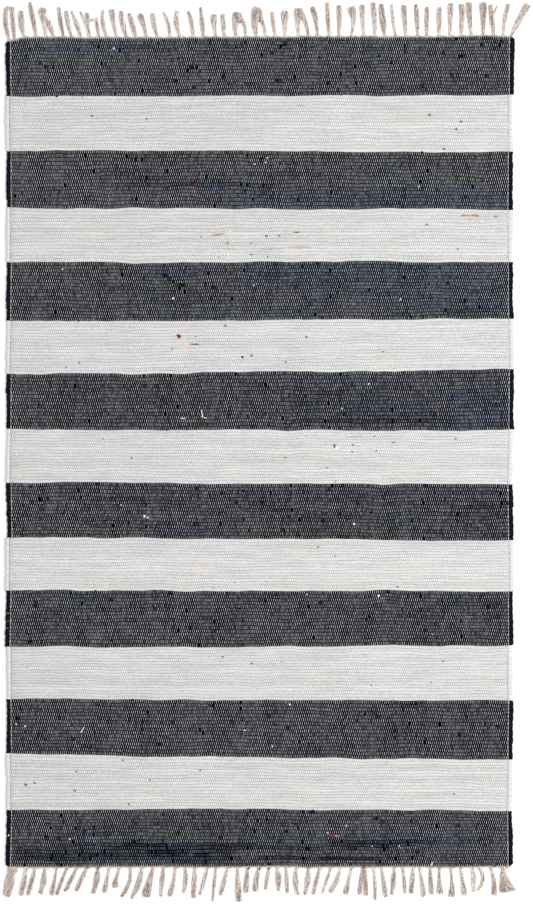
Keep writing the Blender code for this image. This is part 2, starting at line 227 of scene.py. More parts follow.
# where a fat dark rag crowds the warp yarns, and how strongly it covers them, from 0 to 1
Streak = namedtuple("Streak", "start end rag cover")
streaks = [
    Streak(-246, -196, 243, 0.5), Streak(115, 320, 243, 0.5), Streak(158, 202, 243, 0.68),
    Streak(-365, -240, 244, 0.4), Streak(-250, -158, 244, 0.85), Streak(-170, 0, 244, 0.5),
    Streak(118, 280, 244, 0.5), Streak(-440, -280, 245, 0.25), Streak(-285, 120, 245, 0.5),
    Streak(110, 230, 245, 0.27), Streak(-440, -200, 246, 0.4), Streak(-210, -118, 246, 0.75),
    Streak(-125, -30, 246, 0.48), Streak(-440, -320, 247, 0.45), Streak(-325, -120, 247, 0.6),
    Streak(-125, -75, 247, 0.78), Streak(-80, -40, 247, 0.42), Streak(-440, -40, 248, 0.42),
    Streak(-10, 100, 248, 0.56), Streak(95, 225, 248, 0.72), Streak(220, 262, 248, 0.35),
    Streak(-165, -75, 249, 0.4), Streak(-440, -165, 249, 0.12), Streak(-245, 30, 43, 0.3),
    Streak(339, 416, 80, 0.35), Streak(90, 158, 105, 0.35), Streak(47, 356, 113, 0.35),
    Streak(339, 441, 140, 0.35),
]
streakSet = {
    "extra": 30,  # more of them, faint ones, spread over the dark stripes
    "from": -440,
    "lastStart": 400,
    "to": 440,
    "shortest": 30,
    "longest": 170,
    "faintest": 0.1,
    "strongest": 0.32,
    "taper": 14,
    "uneven": 0.3,
    "navy": 0.6,  # how navy a streak is at its strongest, and how soon it gets there
    "navySoon": 1.6,
    "seed": 21,
}


def addStreaks():
    rng = random.Random(streakSet["seed"])
    darkRags = [
        rag for start, stripe in zip(stripeStarts, stripes) if stripe.rag == "dark"
        for rag in range(start + 1, start + stripe.rags - 1)
    ]
    for _ in range(streakSet["extra"]):
        start = rng.uniform(streakSet["from"], streakSet["lastStart"])
        length = rng.uniform(streakSet["shortest"], streakSet["longest"])
        cover = rng.uniform(streakSet["faintest"], streakSet["strongest"])
        streaks.append(Streak(start, min(start + length, streakSet["to"]), rng.choice(darkRags), cover))


def coverAt(x, rag):
    cover = np.zeros(np.broadcast(x, rag).shape)
    for streak in streaks:
        ends = np.clip(np.minimum(x - streak.start, streak.end - x) / streakSet["taper"], 0, 1)
        inRag = (rag > streak.rag) & (rag < streak.rag + 1)
        cover = np.maximum(cover, streak.cover * ends * inRag)
    return np.clip(cover * (1 + streakSet["uneven"] * softNoise(x / 14, rag * 1.7, 15)), 0, 1)


def tintAt(x, rag):
    row = np.floor(rag)
    ownTint = tintSet["alongRag"] * softNoise(x / 110, row * 0.47, 9)
    ownTint = ownTint + tintSet["byStretch"] * softNoise(x / 60, row * 1.37, 10)
    uneven = tintSet["inPatch"] * softNoise(x / 24, row * 0.77, 17) + tintSet["kept"] * ownTint
    tint = ownTint
    for patch in dyedPatches:
        # each rag of a patch starts and ends at its own place
        shift = min(tintSet["shiftMost"], tintSet["shiftShare"] * (patch.end - patch.start))
        shift = shift * softNoise(row * 0.9 + 0.5, patch.first, 16)
        ends = np.minimum(x - shift - patch.start, patch.end - x + shift) / tintSet["taper"]
        rows = np.minimum(rag - patch.first, patch.last - rag) / tintSet["rowTaper"] + 0.5
        inside = np.clip(ends, 0, 1) * np.clip(rows, 0, 1)
        tint = tint * (1 - inside) + (patch.tint + uneven) * inside
    navy = np.clip(coverAt(x, rag) * streakSet["navySoon"], 0, 1)
    return np.maximum(tint, streakSet["navy"] * navy)


# small helpers for shader nodes


def plug(tree, socket, value):
    if isinstance(value, bpy.types.NodeSocket):
        tree.links.new(value, socket)
    else:
        socket.default_value = value


def maths(tree, operation, first, second=0.0, third=0.0):
    node = tree.nodes.new("ShaderNodeMath")
    node.operation = operation
    for socket, value in zip(node.inputs, (first, second, third)):
        plug(tree, socket, value)
    return node.outputs[0]


# how far a value is from the middle between two whole numbers
def fromMiddle(tree, value):
    return maths(tree, "ABSOLUTE", maths(tree, "SUBTRACT", maths(tree, "FRACT", value), 0.5))


def scaled(tree, vector, x, y, z=1.0):
    node = tree.nodes.new("ShaderNodeVectorMath")
    node.operation = "MULTIPLY"
    plug(tree, node.inputs[0], vector)
    node.inputs[1].default_value = (x, y, z)
    return node.outputs[0]


def combined(tree, x, y, z=0.0):
    node = tree.nodes.new("ShaderNodeCombineXYZ")
    for socket, value in zip(node.inputs, (x, y, z)):
        plug(tree, socket, value)
    return node.outputs[0]


def separated(tree, vector):
    node = tree.nodes.new("ShaderNodeSeparateXYZ")
    plug(tree, node.inputs[0], vector)
    return node.outputs


def ranged(tree, value, low, high, outLow=0.0, outHigh=1.0, smooth=True):
    node = tree.nodes.new("ShaderNodeMapRange")
    node.interpolation_type = "SMOOTHSTEP" if smooth else "LINEAR"
    for name, number in (("From Min", low), ("From Max", high), ("To Min", outLow), ("To Max", outHigh)):
        plug(tree, node.inputs[name], number)
    plug(tree, node.inputs["Value"], value)
    return node.outputs["Result"]


def mixed(tree, factor, first, second):
    node = tree.nodes.new("ShaderNodeMix")
    node.data_type = "RGBA"
    plug(tree, node.inputs[0], factor)
    plug(tree, node.inputs[6], (*first, 1.0) if isinstance(first, tuple) else first)
    plug(tree, node.inputs[7], (*second, 1.0) if isinstance(second, tuple) else second)
    return node.outputs[2]


def shaded(tree, colour, factor):
    node = tree.nodes.new("ShaderNodeVectorMath")
    node.operation = "SCALE"
    plug(tree, node.inputs[0], colour)
    plug(tree, node.inputs["Scale"], factor)
    return node.outputs[0]


def noisy(tree, vector, scale, detail=2.0, roughness=0.5):
    node = tree.nodes.new("ShaderNodeTexNoise")
    plug(tree, node.inputs["Vector"], vector)
    node.inputs["Scale"].default_value = scale
    node.inputs["Detail"].default_value = detail
    node.inputs["Roughness"].default_value = roughness
    return node.outputs[0]


def chance(tree, vector):
    node = tree.nodes.new("ShaderNodeTexWhiteNoise")
    plug(tree, node.inputs["Vector"], vector)
    return node.outputs["Value"]


def uvMap(tree, name):
    node = tree.nodes.new("ShaderNodeUVMap")
    node.uv_map = name
    return node.outputs[0]


def objectPlace(tree):
    return tree.nodes.new("ShaderNodeTexCoord").outputs["Object"]


def attribute(tree, name, output="Fac"):
    node = tree.nodes.new("ShaderNodeAttribute")
    node.attribute_name = name
    return node.outputs[output]


def newMaterial(name, roughness, sheen=0.0, gloss=0.2):
    material = bpy.data.materials.new(name)
    material.use_nodes = True
    shader = material.node_tree.nodes["Principled BSDF"]
    shader.inputs["Roughness"].default_value = roughness
    shader.inputs["Specular IOR Level"].default_value = gloss
    shader.inputs["Sheen Weight"].default_value = sheen
    return material, material.node_tree, shader


def addBump(tree, shader, height, distance, strength):
    node = tree.nodes.new("ShaderNodeBump")
    node.inputs["Distance"].default_value = distance
    node.inputs["Strength"].default_value = strength
    plug(tree, node.inputs["Height"], height)
    plug(tree, shader.inputs["Normal"], node.outputs[0])


# Warp yarns over rags, for both rag colours. Weave coordinates count warp yarns along x and rags
# along y, and a yarn shows over every other rag.
def makeWeaveGroup():
    tree = bpy.data.node_groups.new("yarnOverRag", "ShaderNodeTree")
    face = tree.interface
    face.new_socket("Weave", in_out="INPUT", socket_type="NodeSocketVector")
    for name in ("Yarn Width", "Yarn Length"):
        face.new_socket(name, in_out="INPUT", socket_type="NodeSocketFloat")
    for name in ("Yarn", "Yarn Tone", "Rag Tone", "Patch", "Stretch", "Break", "Fibre", "Gap"):
        face.new_socket(name, in_out="OUTPUT", socket_type="NodeSocketFloat")
    given = tree.nodes.new("NodeGroupInput").outputs
    put = tree.nodes.new("NodeGroupOutput").inputs

    weave = given["Weave"]
    x, y, _ = separated(tree, weave)
    rag = maths(tree, "FLOOR", y)
    pair = maths(tree, "MULTIPLY", maths(tree, "ADD", x, rag), 0.5)
    off = maths(tree, "MULTIPLY", fromMiddle(tree, pair), 2.0)
    off = maths(tree, "DIVIDE", off, given["Yarn Width"])
    along = fromMiddle(tree, y)
    reach = maths(tree, "DIVIDE", along, given["Yarn Length"])
    oval = maths(tree, "ADD", maths(tree, "POWER", off, 2.0), maths(tree, "POWER", reach, 4.0))
    plug(tree, put["Yarn"], ranged(tree, oval, 1.5, 0.5))
    plug(tree, put["Yarn Tone"], chance(tree, combined(tree, maths(tree, "FLOOR", pair), rag)))
    plug(tree, put["Rag Tone"], chance(tree, combined(tree, 3.0, rag)))
    patchAt = combined(tree, maths(tree, "MULTIPLY", x, 0.011), maths(tree, "MULTIPLY", rag, 0.33))
    plug(tree, put["Patch"], noisy(tree, patchAt, 1.0, 3.0, 0.55))
    stretchAt = combined(tree, maths(tree, "MULTIPLY", x, 0.022), maths(tree, "MULTIPLY", rag, 5.17))
    plug(tree, put["Stretch"], noisy(tree, stretchAt, 1.0, 1.0))
    # which seam between rags a spot is nearest, for breaks in the painted shade along it
    shadedSeam = maths(tree, "FLOOR", maths(tree, "ADD", y, 0.5))
    breakAt = combined(tree, maths(tree, "MULTIPLY", x, 0.26), maths(tree, "MULTIPLY", shadedSeam, 3.31))
    plug(tree, put["Break"], noisy(tree, breakAt, 1.0, 3.0, 0.6))
    plug(tree, put["Fibre"], noisy(tree, scaled(tree, weave, 0.6, 3.5), 1.0, 4.0, 0.65))
    # painted shade in the dips between one rag and the next
    plug(tree, put["Gap"], ranged(tree, along, 0.40, 0.49))
    return tree


def placeWeave(tree, group, look):
    node = tree.nodes.new("ShaderNodeGroup")
    node.node_tree = group
    plug(tree, node.inputs["Weave"], uvMap(tree, "weave"))
    node.inputs["Yarn Width"].default_value = look["yarnWidth"]
    node.inputs["Yarn Length"].default_value = look["yarnLength"]
    return node.outputs


darkLook = {
    "charcoal": (0.0026, 0.0026, 0.0038),
    "navy": (0.0024, 0.0044, 0.0095),
    "brown": (0.0062, 0.0050, 0.0044),
    "faded": (0.013, 0.013, 0.017),
    "yarn": (0.55, 0.555, 0.60),
    "yarnWidth": 0.30,
    "yarnLength": 0.46,
    "wornShare": 0.6,
    "ragShades": (0.7, 1.35),
    "gapShade": 0.5,
    "yarnShades": (0.5, 1.2),
    "bump": 0.4,
    "roughness": 0.95,
    "gloss": 0.0,
}

lightLook = {
    "warm": (0.545, 0.536, 0.523),
    "cool": (0.53, 0.533, 0.535),
    "greyed": (0.34, 0.34, 0.335),
    "blush": (0.58, 0.525, 0.505),
    "bluish": (0.51, 0.53, 0.56),
    "yellowish": (0.565, 0.545, 0.505),
    # the painted shade of the seams between rags, warmed by the warp yarns that show in them
    "shadedSeam": (0.20, 0.172, 0.163),
    "yarn": (0.87, 0.862, 0.852),
    "yarnWidth": 0.30,
    "yarnLength": 0.42,
    "castShare": 0.6,  # how strongly a stretch of rag turns blush or bluish
    "stretchShades": (0.93, 1.07),
    "ragShades": (0.95, 1.05),
    "wornShare": 0.55,
    "yarnShares": (0.4, 1.0),  # how clearly single yarns show, and where the weave is bare
    "bareShares": (0.65, 1.0),
    "bump": 0.5,
    "fibreBump": 0.45,
    "roughness": 0.92,
    "gloss": 0.1,
}


# the floats are made over the dark rags, and painted only where the cloth's underside shows them
def makeDarkRag(name, group, paintYarns):
    look = darkLook
    material, tree, shader = newMaterial(name, look["roughness"], gloss=look["gloss"])
    weave = placeWeave(tree, group, look)
    tint = attribute(tree, "ragTint")
    rag = mixed(tree, ranged(tree, tint, 0.05, 0.8), look["charcoal"], look["navy"])
    rag = mixed(tree, ranged(tree, tint, -0.05, -0.8), rag, look["brown"])
    worn = ranged(tree, weave["Fibre"], 0.52, 0.78)
    rag = mixed(tree, maths(tree, "MULTIPLY", worn, look["wornShare"]), rag, look["faded"])
    rag = shaded(tree, rag, ranged(tree, weave["Rag Tone"], 0.0, 1.0, *look["ragShades"], False))
    # painted shade in the dips between rags
    rag = shaded(tree, rag, ranged(tree, weave["Gap"], 0.0, 1.0, 1.0, look["gapShade"], False))
    height = weave["Fibre"]
    if paintYarns:
        yarnShade = ranged(tree, weave["Yarn Tone"], 0.0, 1.0, *look["yarnShades"], False)
        rag = mixed(tree, weave["Yarn"], rag, shaded(tree, look["yarn"], yarnShade))
        height = weave["Yarn"]
    plug(tree, shader.inputs["Base Color"], rag)
    addBump(tree, shader, height, look["bump"] * mm, 0.5)
    return material


def makeLightRag(group):
    look = lightLook
    material, tree, shader = newMaterial("lightRag", look["roughness"], gloss=look["gloss"])
    weave = placeWeave(tree, group, look)
    rag = mixed(tree, ranged(tree, weave["Patch"], 0.4, 0.62), look["warm"], look["cool"])
    rag = mixed(tree, ranged(tree, weave["Stretch"], 0.62, 0.74, 0.0, look["castShare"]), rag, look["blush"])
    rag = mixed(tree, ranged(tree, weave["Stretch"], 0.38, 0.28, 0.0, look["castShare"]), rag, look["bluish"])
    yellowed = maths(tree, "MULTIPLY", ranged(tree, weave["Rag Tone"], 0.88, 0.97), weave["Patch"])
    rag = mixed(tree, yellowed, rag, look["yellowish"])
    rag = shaded(tree, rag, ranged(tree, weave["Stretch"], 0.3, 0.7, *look["stretchShades"]))
    rag = shaded(tree, rag, ranged(tree, weave["Rag Tone"], 0.0, 1.0, *look["ragShades"], False))
    worn = ranged(tree, weave["Fibre"], 0.5, 0.75)
    rag = mixed(tree, maths(tree, "MULTIPLY", worn, look["wornShare"]), rag, look["greyed"])
    # painted shade along the seams between rags, broken here and there, in a warm grey that is partly the
    # warp yarns seen in the gaps
    shadedSeam = maths(tree, "MULTIPLY", weave["Gap"], ranged(tree, weave["Break"], 0.38, 0.68))
    rag = mixed(tree, shadedSeam, rag, look["shadedSeam"])
    bare = ranged(tree, weave["Patch"], 0.34, 0.56, *look["bareShares"])
    single = ranged(tree, weave["Yarn Tone"], 0.0, 1.0, *look["yarnShares"], False)
    yarnShows = maths(tree, "MULTIPLY", weave["Yarn"], maths(tree, "MULTIPLY", single, bare))
    plug(tree, shader.inputs["Base Color"], mixed(tree, yarnShows, rag, look["yarn"]))
    height = maths(tree, "MULTIPLY_ADD", weave["Fibre"], look["fibreBump"], weave["Yarn"])
    addBump(tree, shader, height, look["bump"] * mm, 0.45)
    return material


selvedgeLook = {
    # deep and worn are the rag's own colours; crease is how much light the painted shade between turns leaves
    "darkSelvedge": {"deep": (0.003, 0.0042, 0.008), "worn": (0.010, 0.015, 0.026), "crease": 0.4},
    "lightSelvedge": {"deep": (0.60, 0.61, 0.615), "worn": (0.69, 0.70, 0.705), "crease": 0.85},
}


# the rag's turn at the side, with painted shade in the crease between one turn and the next
def makeSelvedge(name):
    look = selvedgeLook[name]
    material, tree, shader = newMaterial(name, 0.93, gloss=0.05)
    weave = uvMap(tree, "weave")
    x, y, _ = separated(tree, weave)
    onRight = maths(tree, "GREATER_THAN", x, 0.0)
    side = fromMiddle(tree, maths(tree, "MULTIPLY_ADD", onRight, 0.5, maths(tree, "MULTIPLY", y, 0.5)))
    fibre = noisy(tree, scaled(tree, weave, 1.6, 1.1), 1.0, 4.0, 0.6)
    colour = mixed(tree, ranged(tree, fibre, 0.38, 0.75), look["deep"], look["worn"])
    # painted shade in the crease between two turns of the rag
    colour = shaded(tree, colour, ranged(tree, side, 0.38, 0.5, 1.0, look["crease"]))
    plug(tree, shader.inputs["Base Color"], colour)
    addBump(tree, shader, fibre, 0.6 * mm, 0.5)
    return material


def meshFrom(bm, name):
    mesh = bpy.data.meshes.new(name)
    bm.to_mesh(mesh)
    bm.free()
    return mesh


def triangleCount(mesh):
    return sum(len(face.vertices) - 2 for face in mesh.polygons)


def placed(name, mesh):
    piece = bpy.data.objects.new(name, mesh)
    bpy.context.collection.objects.link(piece)
    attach(piece, "root")
    return piece


# the cloth

cloth = {
    "rowPhases": (0.0, 0.28, 0.72),  # a dip and two shoulders for each rag
    "fieldColumns": 84,
    "dipUneven": 0.2,
    "coveredRise": 0.35,
    "endFoot": 0.06,  # how high the two ends start, and over how many rags they round off
    "endRags": 0.6,
    "tuck": 3.5,  # how far the selvedges are drawn in at their ends
    "tuckRags": 1.5,
    "tuckIn": 5,
    "turnCrease": 0.14,  # how much lower the roll is between two turns of the rag
    "selvedgeIn": 7.5,  # how far in the selvedges' own colours reach
    "bakeTop": (0.0, 0.66),  # the share of the bake map that the upper side takes
    "bakeUnder": (0.69, 1.0),
    # the selvedge's roll from its foot over the crest: how far in from the outer side, how high
    "roll": [(1.8, 0.0), (0.5, 1.2), (0.0, 2.8), (0.7, 4.6), (2.2, 5.9), (4.2, 6.3), (6.2, 5.8), (7.8, 4.3)],
}


# Every point of the cloth's upper side from foot to foot, near end first, then the rag of each row, and
# how far across each column lies, along the surface and straight.
def clothPlaces():
    half = layout["halfWidth"]
    roll = np.array(cloth["roll"])
    fieldHalf = half - layout["fieldFrom"]
    rags = [rag + phase for rag in range(ragCount) for phase in cloth["rowPhases"]] + [ragCount]
    rags = np.array(rags[::-1], float)[:, None]
    field = np.linspace(-fieldHalf, fieldHalf, cloth["fieldColumns"])
    nominal = np.concatenate([roll[:, 0] - half, field, (half - roll[:, 0])[::-1]])[None, :]
    rollSteps = np.hypot(*np.diff(np.vstack([roll, (layout["fieldFrom"], layout["ragTop"])]), axis=0).T)
    outward = fieldHalf + np.cumsum(rollSteps[::-1])
    across = np.concatenate([-outward[::-1], field, outward])

    fromEnd = np.minimum(rags, ragCount - rags)
    endRound = np.sqrt(1 - (1 - np.clip(fromEnd / cloth["endRags"], 0, 1)) ** 2)
    endFall = cloth["endFoot"] + (1 - cloth["endFoot"]) * endRound
    atSide = np.clip(1 - (half - np.abs(nominal)) / cloth["tuckIn"], 0, 1) ** 2
    tuck = cloth["tuck"] * atSide * np.clip(1 - fromEnd / cloth["tuckRags"], 0, 1)
    x = acrossAt(nominal, rags)
    y = alongAt(nominal, rags) - np.where(rags < ragCount / 2, 1, -1) * tuck

    phase = rags % 1
    crest = np.clip(np.minimum(phase, 1 - phase) / cloth["rowPhases"][1], 0, 1)
    dip = layout["ragDip"] + cloth["dipUneven"] * softNoise(nominal / 23, rags * 0.9, 6)
    top = layout["ragTop"] + lumpAt(nominal, rags) + cloth["coveredRise"] * coverAt(nominal, rags)
    z = dip + (top - dip) * crest
    for side, columns in (("left", slice(0, len(roll))), ("right", slice(-1, -len(roll) - 1, -1))):
        lobe = sideBulge(rags, side)[2]
        z[:, columns] = roll[None, :, 1] * (1 - cloth["turnCrease"] + cloth["turnCrease"] * lobe)
    places = np.stack([x, y, z * endFall], axis=2)
    return places, rags[:, 0], across, nominal[0]


# the upper side as one grid, closed by the underside and the two ends
def clothMesh(places):
    rowCount, columnCount, _ = places.shape
    bm = bmesh.new()
    bmesh.ops.create_grid(bm, x_segments=columnCount - 1, y_segments=rowCount - 1, size=1.0)
    for vert, place in zip(bm.verts, places.reshape(-1, 3) * mm):
        vert.co = place
    bm.verts.ensure_lookup_table()
    feet = {bm.verts[row * columnCount + side] for row in range(rowCount) for side in (0, columnCount - 1)}
    sides = [edge for edge in bm.edges if edge.is_boundary and feet.issuperset(edge.verts)]
    bmesh.ops.bridge_loops(bm, edges=sides)  # the underside
    bmesh.ops.holes_fill(bm, edges=bm.edges, sides=0)  # the two ends
    bmesh.ops.recalc_face_normals(bm, faces=bm.faces)
    return meshFrom(bm, "ragCloth")


# the upper side and the underside have a share of the bake map each
def addClothBakeMap(mesh, onTop, acrossShare, ragShare):
    low = np.where(onTop, cloth["bakeTop"][0], cloth["bakeUnder"][0])
    high = np.where(onTop, cloth["bakeTop"][1], cloth["bakeUnder"][1])
    u = low + (high - low) * (0.5 + 0.499 * acrossShare)
    v = 0.5 + 0.499 * (1 - 2 * ragShare)
    mesh.uv_layers.new(name="OFBake").data.foreach_set("uv", np.column_stack([u, v]).ravel())


def makeCloth(materials):
    places, rags, across, nominal = clothPlaces()
    rowCount, columnCount, _ = places.shape
    mesh = clothMesh(places)
    corner = np.zeros(len(mesh.loops), np.int32)
    mesh.loops.foreach_get("vertex_index", corner)
    starts = np.zeros(len(mesh.polygons), np.int32)
    mesh.polygons.foreach_get("loop_start", starts)
    sizes = np.diff(np.append(starts, len(corner)))
    onTop = np.arange(len(starts)) < (rowCount - 1) * (columnCount - 1)
    ragHere = rags[corner // columnCount]
    acrossHere = across[corner % columnCount]
    sway = warpSway(nominal[None, :], rags[:, None]).ravel()
    warpHere = (acrossHere - sway[corner]) / layout["warpPitch"]
    weaveAt = np.column_stack([warpHere, ragHere])
    mesh.uv_layers.new(name="weave").data.foreach_set("uv", weaveAt.ravel())
    addClothBakeMap(mesh, np.repeat(onTop, sizes), acrossHere / across[-1], ragHere / ragCount)
    mesh.uv_layers["weave"].active_render = True

    light = isLight(np.add.reduceat(ragHere, starts) / sizes)
    acrossMiddle = np.add.reduceat(np.abs(acrossHere), starts) / sizes
    rolled = onTop & (acrossMiddle > layout["halfWidth"] - cloth["selvedgeIn"])
    under = ~onTop & ~light
    # dark and light on top, then their selvedges, then the dark underside
    mesh.polygons.foreach_set("material_index", (light + 2 * rolled + 4 * under).astype(np.int32))
    for material in materials:
        mesh.materials.append(material)
    tint = mesh.attributes.new("ragTint", "FLOAT", "POINT")
    # a row on the border of two rags takes the tint of the one nearer the near end
    tintHere = tintAt(nominal[None, :], rags[:, None] + 0.01)
    tint.data.foreach_set("value", tintHere.ravel().astype(np.float32))
    mesh.shade_smooth()
    return placed("ragCloth", mesh)


